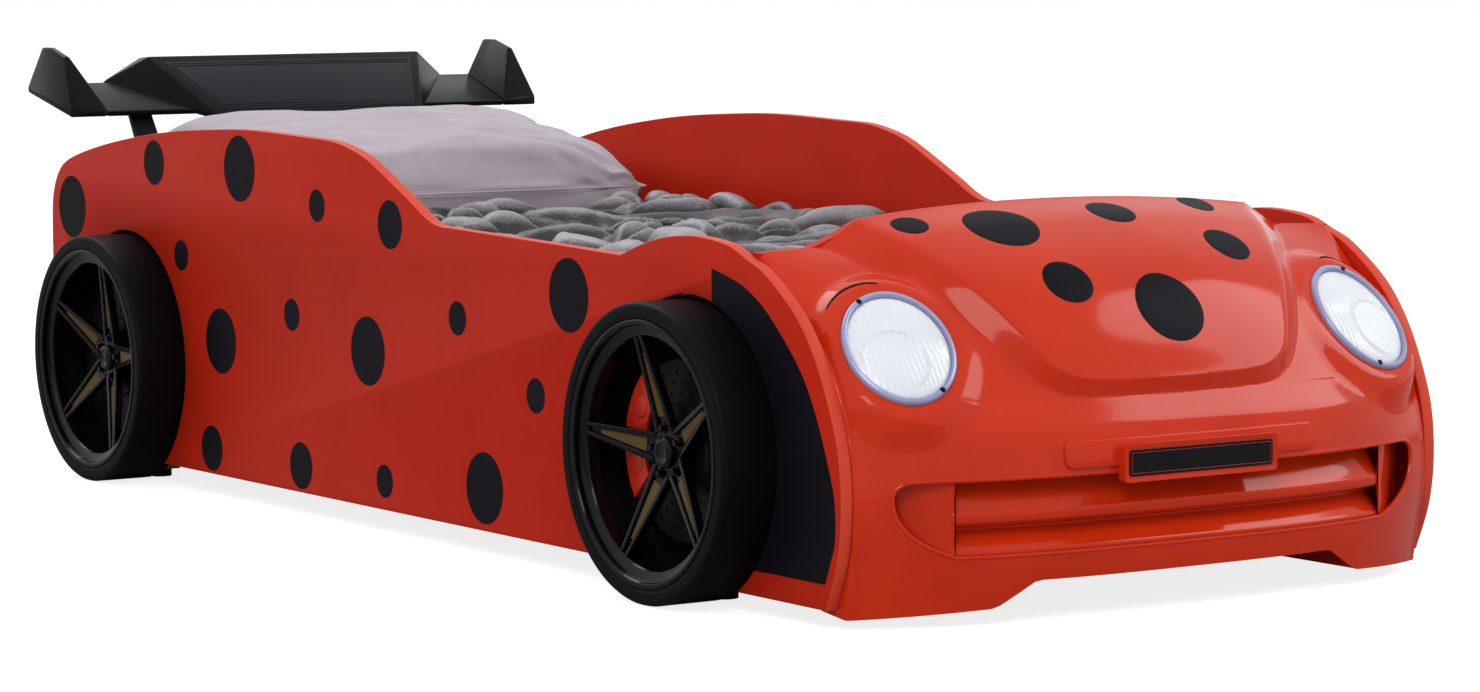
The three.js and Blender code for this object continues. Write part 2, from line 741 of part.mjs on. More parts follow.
function bonnetHeight(x, share) {
  const crest = bonnetEdge(crestShares, share);
  const foot = bonnetEdge(bonnetFootShares, share);
  const sideRise = clampShare((foot - Math.abs(x)) / (foot - crest));
  const noseRise = clampShare((noseFootShare - share) / (noseFootShare - noseCrestShare));
  const lift = bonnetLift + (bonnetNoseLift - bonnetLift) * clampShare(share / noseCrestShare);
  const crownAcross = 1 - Math.min(1, (x / crest) ** 2);
  const crownAlong = clampShare(1 - share / noseCrestShare);
  return lift * Math.min(sideRise, noseRise) + bonnetCrown * crownAcross * crownAlong;
}

// The moulding's outer face: body, raised bonnet, and a flat seat pressed round each headlight
function fasciaPoint(x, share) {
  const tangent = middleProfile.getTangent(share);
  const outward = new THREE.Vector3(0, tangent.y, -tangent.x);
  outward.lerp(new THREE.Vector3(0, 0, 1), clampShare(1 - share / upliftShare)).normalize();
  const point = bodyPoint(x, share).addScaledVector(outward, bonnetHeight(x, share));
  const { place, facing } = x < 0 ? lampFrames.right : lampFrames.left;
  const local = point.clone().applyMatrix4(place.clone().invert());
  const away = Math.hypot(local.x / lampHalfWidth, local.y / lampHalfHeight);
  const blend = clampShare((lampSeatOuterShare - away) / (lampSeatOuterShare - lampSeatInnerShare));
  const rim = clampShare((fasciaHalf - Math.abs(x)) / lampSeatMargin);
  return point.addScaledVector(facing, -local.z * rim * blend * blend * (3 - 2 * blend));
}

function fasciaNormal(x, share) {
  const stepX = fasciaHalf * normalStepShare;
  const stepShare = normalStepShare;
  const low = Math.max(0, share - stepShare);
  const high = Math.min(1, share + stepShare);
  const left = Math.max(-fasciaHalf, x - stepX);
  const right = Math.min(fasciaHalf, x + stepX);
  const across = fasciaPoint(right, share).sub(fasciaPoint(left, share));
  const down = fasciaPoint(x, high).sub(fasciaPoint(x, low));
  return down.cross(across).normalize();
}

function fasciaColumns(share) {
  const crest = bonnetEdge(crestShares, share);
  const foot = bonnetEdge(bonnetFootShares, share);
  const half = [];
  for (let i = 0; i < crestColumns; i += 1) half.push((crest * i) / crestColumns);
  for (let i = 0; i < wallColumns; i += 1) half.push(crest + ((foot - crest) * i) / wallColumns);
  for (let i = 0; i <= wingColumns; i += 1) half.push(foot + ((fasciaHalf - foot) * i) / wingColumns);
  return [...half.slice(1).reverse().map((x) => -x), ...half];
}

// A closed body between two grids of points that share their outline's order
function closedGrid(outer, inner) {
  const rows = outer.length;
  const columns = outer[0].length;
  const places = [];
  for (const point of [...outer, ...inner].flat()) places.push(...point.toArray());
  const at = (layer, row, column) => layer * rows * columns + row * columns + column;
  const faces = [];
  const quad = (a, b, c, d) => faces.push(a, b, c, a, c, d);
  for (let r = 0; r + 1 < rows; r += 1) {
    for (let c = 0; c + 1 < columns; c += 1) {
      quad(at(0, r, c), at(0, r + 1, c), at(0, r + 1, c + 1), at(0, r, c + 1));
      quad(at(1, r, c), at(1, r, c + 1), at(1, r + 1, c + 1), at(1, r + 1, c));
    }
    quad(at(0, r, 0), at(1, r, 0), at(1, r + 1, 0), at(0, r + 1, 0));
    const last = columns - 1;
    quad(at(0, r + 1, last), at(1, r + 1, last), at(1, r, last), at(0, r, last));
  }
  for (let c = 0; c + 1 < columns; c += 1) {
    quad(at(0, 0, c + 1), at(1, 0, c + 1), at(1, 0, c), at(0, 0, c));
    quad(at(0, rows - 1, c), at(1, rows - 1, c), at(1, rows - 1, c + 1), at(0, rows - 1, c + 1));
  }
  const geometry = new THREE.BufferGeometry();
  geometry.setAttribute('position', new THREE.Float32BufferAttribute(places, 3));
  geometry.setIndex(faces);
  return geometry;
}

function fasciaShell() {
  const outer = [];
  const inner = [];
  for (const share of profileRowShares) {
    const columns = fasciaColumns(share);
    outer.push(columns.map((x) => fasciaPoint(x, share)));
    inner.push(columns.map((x) => fasciaPoint(x, share).addScaledVector(fasciaNormal(x, share), -skin)));
  }
  return closedGrid(outer, inner);
}

// The flat flange down each side, where the moulding is screwed to the side panel
function sideFlange() {
  const outer = [];
  const inner = [];
  for (const share of profileRowShares) {
    const tangent = sideProfile.getTangent(share);
    const place = bodyPoint(fasciaHalf, share);
    const inward = new THREE.Vector2(-tangent.y, tangent.x);
    outer.push(new THREE.Vector2(place.y, place.z).addScaledVector(inward, skin / 2));
    inner.push(new THREE.Vector2(place.y, place.z).addScaledVector(inward, flangeDepth));
  }
  const shape = new THREE.Shape([...outer, ...inner.reverse()]);
  return sheetAlongX(shape, fasciaHalf - skin, fasciaHalf - seatGap);
}

function grilleShape() {
  const shape = new THREE.Shape();
  const bulgeLow = (grilleBulgeZ + grilleBottomZ) / 2 - grilleLap * 2;
  shape.moveTo(-grilleBottomHalf, grilleBottomZ);
  shape.lineTo(grilleBottomHalf, grilleBottomZ);
  shape.quadraticCurveTo(grilleBulgeHalf, bulgeLow, grilleBulgeHalf, grilleBulgeZ);
  shape.quadraticCurveTo(grilleBulgeHalf, grilleTopZ, grilleTopHalf, grilleTopZ);
  shape.lineTo(-grilleTopHalf, grilleTopZ);
  shape.quadraticCurveTo(-grilleBulgeHalf, grilleTopZ, -grilleBulgeHalf, grilleBulgeZ);
  shape.quadraticCurveTo(-grilleBulgeHalf, bulgeLow, -grilleBottomHalf, grilleBottomZ);
  return shape;
}

// Lamp pieces are drawn facing +Z about their own axis, then placed on the left side
function lampPiece(points) {
  const piece = turned(points, lampSteps).rotateX(Math.PI / 2);
  piece.scale(1, lampHalfHeight / lampHalfWidth, 1);
  return positionsOnly(piece).applyMatrix4(lampFrames.left.place);
}

function makeFascia() {
  const cutRadius = lampHalfWidth + fitGap;
  const lampCut = lampPiece([
    [0, -bowlDepth], [cutRadius, -bowlDepth], [cutRadius, bowlDepth], [0, bowlDepth],
  ]);
  const grilleFront = fasciaRearY - bumperReach - overrun;
  const grilleCut = sheetAlongY(grilleShape(), grilleFront, grilleFront + 2 * (grilleDepth + overrun), 6);
  const rearCut = block(-panelOuter, panelOuter, fasciaRearY, footRearY + overrun, 0, bonnetTopZ * 2);
  const flange = sideFlange();
  const cuts = [lampCut, mirrored(lampCut), grilleCut, rearCut].map(solidOf);
  const shell = wasm.Manifold.union([fasciaShell(), flange, mirrored(flange)].map(solidOf));
  add('front_fascia', geometryOf(shell.subtract(wasm.Manifold.union(cuts))), finishes.redGloss);
}

// An upright strip that follows the bumper's plan, from one depth behind its face to another
function bumperStrip(from, to, half, z0, z1) {
  const steps = 10;
  const shape = new THREE.Shape();
  const place = (i, depth) => {
    const x = -half + (2 * half * i) / steps;
    return new THREE.Vector2(x, bodyPoint(x, grilleLevelShare).y + depth);
  };
  shape.moveTo(place(0, from).x, place(0, from).y);
  for (let i = 1; i <= steps; i += 1) shape.lineTo(place(i, from).x, place(i, from).y);
  for (let i = steps; i >= 0; i -= 1) shape.lineTo(place(i, to).x, place(i, to).y);
  const strip = new THREE.ExtrudeGeometry(shape, { depth: z1 - z0, bevelEnabled: false });
  return strip.translate(0, 0, z0);
}

function makeGrille() {
  const back = grilleDepth + grilleWall;
  const lapHalf = grilleBulgeHalf + grilleLap;
  const pieces = [
    bumperStrip(grilleDepth, back, lapHalf, grilleBottomZ - grilleLap, grilleTopZ + grilleLap),
    bumperStrip(grilleBarInset, back, dividerHalf, grilleBarBottomZ, grilleBarTopZ),
  ];
  for (const side of [-1, 1]) {
    const x = side * dividerHalf;
    const faceY = bodyPoint(x, grilleLevelShare).y;
    pieces.push(block(x - dividerWidth / 2, x + dividerWidth / 2, faceY + dividerInset, faceY + back,
      grilleBottomZ + dividerFoot, grilleTopZ - seatGap));
  }
  add('grille_insert', geometryOf(wasm.Manifold.union(pieces.map(solidOf))), finishes.redGloss);
}

// The bumper's faceted face in the middle, from one height up to another
function bumperFace(lowZ, highZ) {
  const rows = profileRowShares.filter((share) => share >= noseFootShare);
  const face = rows.map((share) => middleProfile.getPoint(share));
  const at = (z) => {
    const next = face.findIndex((point) => point.y < z);
    const [above, below] = [face[next - 1], face[next]];
    return new THREE.Vector2(below.x + ((above.x - below.x) * (z - below.y)) / (above.y - below.y), z);
  };
  const between = face.filter((point) => point.y > lowZ && point.y < highZ);
  return [at(highZ), ...between, at(lowZ)];
}

function makeNumberPlate() {
  const frontY = fasciaRearY - bumperReach - plateProud;
  const plateTopZ = middleProfile.getPoint(noseFootShare).y - plateDrop;
  const plateBottomZ = plateTopZ - plateHeight;
  const lowZ = plateBottomZ - plateRim;
  const highZ = plateTopZ + plateRim;
  const back = bumperFace(lowZ, highZ).map(({ x, y }) => new THREE.Vector2(x - seatGap, y));
  const shape = new THREE.Shape([
    new THREE.Vector2(frontY, lowZ), new THREE.Vector2(frontY, highZ), ...back,
  ]);
  const outerHalf = plateHalfWidth + plateRim;
  const holder = sheetAlongX(shape, -outerHalf, outerHalf);
  const backY = frontY + plateDepth + seatGap;
  const half = plateHalfWidth;
  const pocketHalf = half + fitGap;
  const pocket = block(-pocketHalf, pocketHalf, frontY - overrun, backY + seatGap,
    plateBottomZ - fitGap, plateTopZ + fitGap);
  add('plate_holder', geometryOf(solidOf(holder).subtract(solidOf(pocket))), finishes.redGloss);
  const plate = block(-half, half, backY - plateDepth, backY, plateBottomZ, plateTopZ);
  add('number_plate', plate, finishes.blackSatin);
}

function makeHeadlights() {
  const inner = lampHalfWidth - bezelWidth;
  addPair('headlight_bezel', lampPiece([
    [lampHalfWidth, -bezelDepth], [lampHalfWidth, bezelProud - bezelWidth / 2],
    [lampHalfWidth - bezelWidth / 2, bezelProud], [inner, bezelProud], [inner, -bezelDepth],
  ]), finishes.chrome);
  const rim = inner - seatGap;
  const lensInner = rim - 2 * lensWall;
  const dome = lensDomeShares.map(([out, up]) => [rim * out, lensDome * up]);
  const domeBack = lensBackShares.map(([out, up]) => [rim * out, lensDome * up - lensWall]);
  addPair('headlight_lens', lampPiece([
    [rim, -lensRim], ...dome, ...domeBack, [lensInner, -lensWall], [lensInner, -lensRim],
  ]), finishes.lens);
  const seat = -lensRim - seatGap;
  const back = seat - bowlDepth;
  const bowlPoint = ([out, down]) => [rim * out, seat - bowlDepth * down];
  addPair('headlight_bowl', lampPiece([
    [rim, seat], [rim, seat - bowlWall], ...bowlOuterShares.map(bowlPoint),
    [bowlThroat + bowlWall, back], [bowlThroat, back], [bowlThroat, back + bowlWall],
    ...bowlInnerShares.map(bowlPoint), [rim - 2 * bowlWall, seat],
  ]), finishes.chrome);
  const throat = bowlThroat - fitGap;
  addPair('headlight_led', lampPiece([
    [0, back - ledDepth], [ledRadius, back - ledDepth], [ledRadius, back - seatGap],
    [throat, back - seatGap], [throat, back + bowlWall], [throat / 2, back + ledDepth],
    [0, back + ledDepth],
  ]), finishes.lamp);
}

function surfaceRise(share) {
  return fasciaPoint(share * fasciaHalf, 0).z;
}

function makeFootboard() {
  const steps = 24;
  const shape = new THREE.Shape();
  shape.moveTo(-linerOuter, boardBottomZ);
  shape.lineTo(linerOuter, boardBottomZ);
  for (let i = steps; i >= 0; i -= 1) {
    const share = -1 + (2 * i) / steps;
    shape.lineTo(share * linerOuter, surfaceRise(share) - seatGap);
  }
  add('footboard', sheetAlongY(shape, footFrontY, footRearY), finishes.redBoard);
}

function hull(points) {
  return new ConvexGeometry(points.map(([x, y, z]) => new THREE.Vector3(x, y, z)));
}

// The wing's blade in Y and Z: nose, upper nose, upper tail, tail
function wingSection() {
  const noseY = headRearY + wingNose;
  const half = wingThickness / 2;
  return [
    [noseY, wingNoseZ], [noseY - half, wingNoseZ + half * 2], [noseY + wingChord, wingNoseZ + wingRise],
    [noseY + wingChord + half, wingNoseZ + wingRise - wingThickness],
  ];
}

function wingUndersideZ(y) {
  const [nose, , , tail] = wingSection();
  return nose[1] + ((tail[1] - nose[1]) * (y - nose[0])) / (tail[0] - nose[0]);
}

function badgeGeometry(grow, from, to) {
  const shape = new THREE.Shape([
    new THREE.Vector2(-badgeBottomHalf - grow, badgeBottomRise - grow),
    new THREE.Vector2(badgeBottomHalf + grow, badgeBottomRise - grow),
    new THREE.Vector2(badgeTopHalf + grow, badgeTopRise + grow),
    new THREE.Vector2(-badgeTopHalf - grow, badgeTopRise + grow),
  ]);
  const slab = new THREE.ExtrudeGeometry(shape, { depth: to - from, bevelEnabled: false });
  slab.translate(0, 0, from);
  const rise = new THREE.Vector3(0, boxTop - boxNose, boxTopZ - wingNoseZ).normalize();
  const across = new THREE.Vector3(1, 0, 0);
  const place = new THREE.Matrix4().makeBasis(across, rise, across.clone().cross(rise));
  place.setPosition(0, headRearY + boxNose, wingNoseZ);
  return positionsOnly(slab).applyMatrix4(place);
}

function makeWing() {
  const section = wingSection();
  const ends = [-finRootHalf, finRootHalf];
  const blade = hull(ends.flatMap((x) => section.map(([y, z]) => [x, y, z])));
  const box = hull([-1, 1].flatMap((side) => [
    [side * boxNoseHalf, headRearY + boxNose, wingNoseZ],
    [side * boxNoseHalf, headRearY + boxNose + wingThickness, wingNoseZ - wingThickness],
    [side * boxTopHalf, headRearY + boxTop, boxTopZ],
    [side * boxTopHalf, headRearY + boxTop + boxDepth, boxTopZ - boxTopFall],
    [side * boxTailHalf, headRearY + boxTail, wingNoseZ + wingRise],
    [side * boxTailHalf, headRearY + boxTail, wingNoseZ + wingRise - wingThickness],
  ]));
  const badgePocket = solidOf(badgeGeometry(fitGap, -badgeSink, overrun));
  const wing = solidOf(blade).add(solidOf(box)).subtract(badgePocket);
  add('rear_wing', geometryOf(wing), finishes.blackGloss);
  const badgeLow = seatGap - badgeSink;
  add('wing_centre_panel', badgeGeometry(0, badgeLow, badgeLow + badgeThickness), finishes.blackSatin);

  const root = finRootHalf + seatGap;
  const noseY = headRearY + wingNose;
  const tipInner = finTipHalf - finWidth;
  const fin = hull([
    ...section.map(([y, z]) => [root, y, z]),
    [wingHalf, noseY, wingNoseZ], [wingHalf, noseY, wingNoseZ + finNoseHeight],
    [wingHalf, noseY + finTail, finTailZ], [wingHalf, noseY + finTail, finTailZ + finTailHeight],
    ...[tipInner, finTipHalf].flatMap((x) => [
      [x, noseY + finBend, finBendZ], [x, noseY + finTipFront, finTipZ], [x, noseY + finTipRear, finTipZ],
    ]),
  ]);
  addPair('wing_fin', fin, finishes.blackGloss);

  const y0 = headRearY + seatGap;
  const y1 = y0 + strutThickness;
  const headY0 = headRearY + strutReach;
  const headY1 = headY0 + strutThickness;
  const strut = new THREE.Shape([
    [y0, headTopZ - strutFootLow], [y1, headTopZ - strutFootLow], [y1, headTopZ],
    [headY1, wingUndersideZ(headY1) - seatGap], [headY0, wingUndersideZ(headY0) - seatGap],
    [y0, headTopZ + strutKneeDrop],
  ].map(([y, z]) => new THREE.Vector2(y, z)));
  const halfWidth = strutWidth / 2;
  addPair('wing_strut', sheetAlongX(strut, strutX - halfWidth, strutX + halfWidth), finishes.blackSatin);
}

function makeMattress() {
  const halfX = mattressWidth / 2 - mattressEdge;
  const halfY = mattressLength / 2 - mattressEdge;
  const corner = mattressCorner - mattressEdge;
  const shape = new THREE.Shape();
  shape.absarc(halfX - corner, halfY - corner, corner, 0, Math.PI / 2);
  shape.absarc(corner - halfX, halfY - corner, corner, Math.PI / 2, Math.PI);
  shape.absarc(corner - halfX, corner - halfY, corner, Math.PI, Math.PI * 1.5);
  shape.absarc(halfX - corner, corner - halfY, corner, Math.PI * 1.5, Math.PI * 2);
  const core = new THREE.ExtrudeGeometry(shape, {
    depth: mattressHeight - 2 * mattressEdge, curveSegments: 5,
    bevelEnabled: true, bevelThickness: mattressEdge, bevelSize: mattressEdge, bevelSegments: 2,
  });
  add('mattress', core.translate(0, mattressY, mattressBottomZ + mattressEdge), finishes.ticking);
}

function blanketTopZ(across, along) {
  const sideFade = clampShare((1 - Math.abs(across)) * foldFadeAcross);
  const endFade = clampShare((1 - Math.abs(along)) * foldFadeAlong);
  const pillowStart = (headFrontY - pillowSetback - pillowDepth - mattressY) / (mattressLength / 2);
  const open = clampShare((pillowStart - along) * foldFadeAlong);
  const sway = foldSway * Math.sin(foldsAcross * across + 2 * along) + across * foldsAcross;
  const ridge = 0.5 + 0.5 * Math.sin(foldsAlong * Math.PI * along + sway);
  const cross = 0.5 + 0.5 * Math.sin(foldsAcross * Math.PI * across - foldsAlong * along + sway);
  const fold = ridgeShare * ridge ** foldPower + (1 - ridgeShare) * cross ** foldPower;
  const rise = (blanketLoft + blanketFold * fold) * sideFade * endFade * open;
  return blanketBottomZ + blanketBase + rise;
}

// A closed body with a shaped top and a flat base: walls down from its outline, and a fan beneath
function flatBased(grid, baseZ) {
  const rows = grid.length;
  const columns = grid[0].length;
  const faces = [];
  const places = grid.flat().flatMap((point) => point.toArray());
  for (let r = 0; r + 1 < rows; r += 1) {
    for (let c = 0; c + 1 < columns; c += 1) {
      const a = r * columns + c;
      faces.push(a, a + columns, a + columns + 1, a, a + columns + 1, a + 1);
    }
  }
  const outline = [];
  for (let r = 0; r + 1 < rows; r += 1) outline.push(r * columns);
  for (let c = 0; c + 1 < columns; c += 1) outline.push((rows - 1) * columns + c);
  for (let r = rows - 1; r > 0; r -= 1) outline.push(r * columns + columns - 1);
  for (let c = columns - 1; c > 0; c -= 1) outline.push(c);
  const firstLow = rows * columns;
  for (const index of outline) places.push(places[3 * index], places[3 * index + 1], baseZ);
  const hub = firstLow + outline.length;
  const middle = grid[Math.floor(rows / 2)][Math.floor(columns / 2)];
  places.push(middle.x, middle.y, baseZ);
  outline.forEach((index, k) => {
    const next = (k + 1) % outline.length;
    faces.push(index, firstLow + k, firstLow + next, index, firstLow + next, outline[next]);
    faces.push(hub, firstLow + next, firstLow + k);
  });
  const geometry = new THREE.BufferGeometry();
  geometry.setAttribute('position', new THREE.Float32BufferAttribute(places, 3));
  geometry.setIndex(faces);
  return geometry;
}

function makeBlanket() {
  const half = mattressWidth / 2 - blanketInset;
  const halfLength = mattressLength / 2 - blanketEnd;
  const top = [];
  for (let r = 0; r <= blanketRows; r += 1) {
    const along = 1 - (2 * r) / blanketRows;
    const row = [];
    for (let c = 0; c <= blanketColumns; c += 1) {
      const across = -1 + (2 * c) / blanketColumns;
      const y = mattressY + along * halfLength;
      row.push(new THREE.Vector3(across * half, y, blanketTopZ(across, along)));
    }
    top.push(row);
  }
  add('blanket', flatBased(top, blanketBottomZ), finishes.plush);
}

function makePillow() {
  const middleY = headFrontY - pillowSetback - pillowDepth / 2;
  const halfWidth = (mattressWidth - pillowSpare) / 2;
  const top = [];
  const base = [];
  for (let r = 0; r <= pillowRows; r += 1) {
    const v = Math.sin((Math.PI / 2) * (1 - (2 * r) / pillowRows));
    const topRow = [];
    const baseRow = [];
    for (let c = 0; c <= pillowColumns; c += 1) {
      const u = Math.sin((Math.PI / 2) * (-1 + (2 * c) / pillowColumns));
      const x = pillowShift + halfWidth * u * (1 - pillowDrawShare * (1 - v * v));
      const y = middleY + (pillowDepth / 2) * v * (1 - pillowDrawShare * (1 - u * u));
      const seam = pillowBottomZ + pillowSeamRise + (pillowTilt * (v + 1)) / 2;
      const rim = r % pillowRows === 0 || c % pillowColumns === 0;
      const fill = rim ? 0 : Math.sqrt((1 - u ** 4) * (1 - v ** 4));
      const belly = Math.max(pillowBottomZ, seam - seatGap - pillowBelly * fill);
      topRow.push(new THREE.Vector3(x, y, seam + pillowCrown * fill));
      baseRow.push(new THREE.Vector3(x, y, fill > 0 ? belly : seam - seatGap));
    }
    top.push(topRow);
    base.push(baseRow);
  }
  add('pillow', closedGrid(top, base), finishes.pillowCotton);
}

makeSidePanels();
makeFrame();
makeFootboard();
makeWheels();
makeFascia();
makeGrille();
makeNumberPlate();
makeHeadlights();
makeWing();
makeMattress();
makeBlanket();
makePillow();

export default bed;
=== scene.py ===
"""A child's car bed in the shape of a ladybug car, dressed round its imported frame.

Sizes are in millimetres and become metres when a mesh is finished. X runs across the bed, the
bonnet points along -Y, and the bed stands on Z = 0. Left is the driver's left, +X.
"""

import bisect
import functools
import logging
import math
from dataclasses import dataclass, replace
from enum import Enum
from typing import Callable, Iterable, Optional, Sequence

import bmesh
import bpy
from bmesh.types import BMEdge, BMesh, BMVert
from mathutils import Matrix, Vector, noise


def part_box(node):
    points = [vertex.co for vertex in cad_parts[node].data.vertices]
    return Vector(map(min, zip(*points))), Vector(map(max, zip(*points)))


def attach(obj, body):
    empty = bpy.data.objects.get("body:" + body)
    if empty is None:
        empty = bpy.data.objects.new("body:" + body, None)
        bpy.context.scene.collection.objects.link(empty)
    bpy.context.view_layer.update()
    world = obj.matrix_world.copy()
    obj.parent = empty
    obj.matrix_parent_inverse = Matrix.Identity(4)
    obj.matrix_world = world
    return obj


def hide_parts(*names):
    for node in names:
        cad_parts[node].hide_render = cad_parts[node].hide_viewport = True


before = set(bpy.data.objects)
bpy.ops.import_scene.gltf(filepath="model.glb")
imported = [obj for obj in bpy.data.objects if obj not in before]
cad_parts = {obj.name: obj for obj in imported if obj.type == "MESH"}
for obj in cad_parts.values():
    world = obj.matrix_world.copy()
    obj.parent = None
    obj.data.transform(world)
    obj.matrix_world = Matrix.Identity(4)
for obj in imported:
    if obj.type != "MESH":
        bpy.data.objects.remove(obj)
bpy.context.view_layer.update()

MM = 0.001
LOG = logging.getLogger("car_bed")
BOTH_SIDES = (("left", 1), ("right", -1))
# Turn a piece's own Z along X, or along Y
ALONG_X = Matrix.Rotation(math.pi / 2, 4, "Y")
ALONG_Y = Matrix.Rotation(math.pi / 2, 4, "X")
# Where a finish's shade gives way to its colour, and how much a pile's relief adds to that
TONE_STOPS = (0.25, 0.75)
NAP_SHARE = 0.4
Point = tuple[float, float]
Triple = tuple[float, float, float]
Output = tuple[bpy.types.Node, str]


# Colours, nodes and finishes

def linear(code: str) -> tuple[float, float, float, float]:
    """Turn an sRGB colour into the linear colour that a shader takes.

    Args:
        code: The colour as #RRGGBB.

    Returns:
        Red, green, blue and an alpha of 1.
    """
    parts = [int(code[i:i + 2], 16) / 255 for i in (1, 3, 5)]
    lit = [part / 12.92 if part <= 0.04045 else ((part + 0.055) / 1.055) ** 2.4 for part in parts]
    return (lit[0], lit[1], lit[2], 1.0)


def add_node(tree: bpy.types.NodeTree, kind: str, settings: Optional[dict] = None,
             links: Optional[dict] = None) -> bpy.types.Node:
    """Add a node with its settings and its incoming links.

    Args:
        tree: The tree that gets the node.
        kind: The node's type name.
        settings: Values by the name, or the number, of an input, or by the name of a property.
        links: For each input, the node and the output that feed it.

    Returns:
        The new node.
    """
    node = tree.nodes.new(kind)
    for name, value in (settings or {}).items():
        if isinstance(name, int) or name in node.inputs:
            node.inputs[name].default_value = value
        else:
            setattr(node, name, value)
    for name, (source, output) in (links or {}).items():
        tree.links.new(source.outputs[output], node.inputs[name])
    return node


def add_math(tree: bpy.types.NodeTree, operation: str,
             *terms: float | Output) -> Output:
    """Add a sum of two terms.

    Args:
        tree: The tree that gets the node.
        operation: What is done with the terms.
        terms: The terms, each a value or a node with its output.

    Returns:
        The node and the output that hold the result.
    """
    links = {i: term for i, term in enumerate(terms) if isinstance(term, tuple)}
    values = {i: term for i, term in enumerate(terms) if i not in links}
    return add_node(tree, "ShaderNodeMath", {"operation": operation, **values}, links), "Value"


class Grain(Enum):
    """How a surface was made, which gives it its fine relief."""

    PEEL = "sprayed or vacuum-formed gloss"
    MOULDED = "spark-eroded mould texture"
    BRUSHED = "brushed along the length"
    TURNED = "turned about an axle"
    WEAVE = "plain weave"
    PILE = "short brushed pile"
    PLANED = "planed softwood"
    FLUTED = "pressed lens flutes"


# How the grains that run along a piece are drawn out
STRETCH = {Grain.BRUSHED: (1, 0.03, 1), Grain.PLANED: (1, 0.06, 1)}


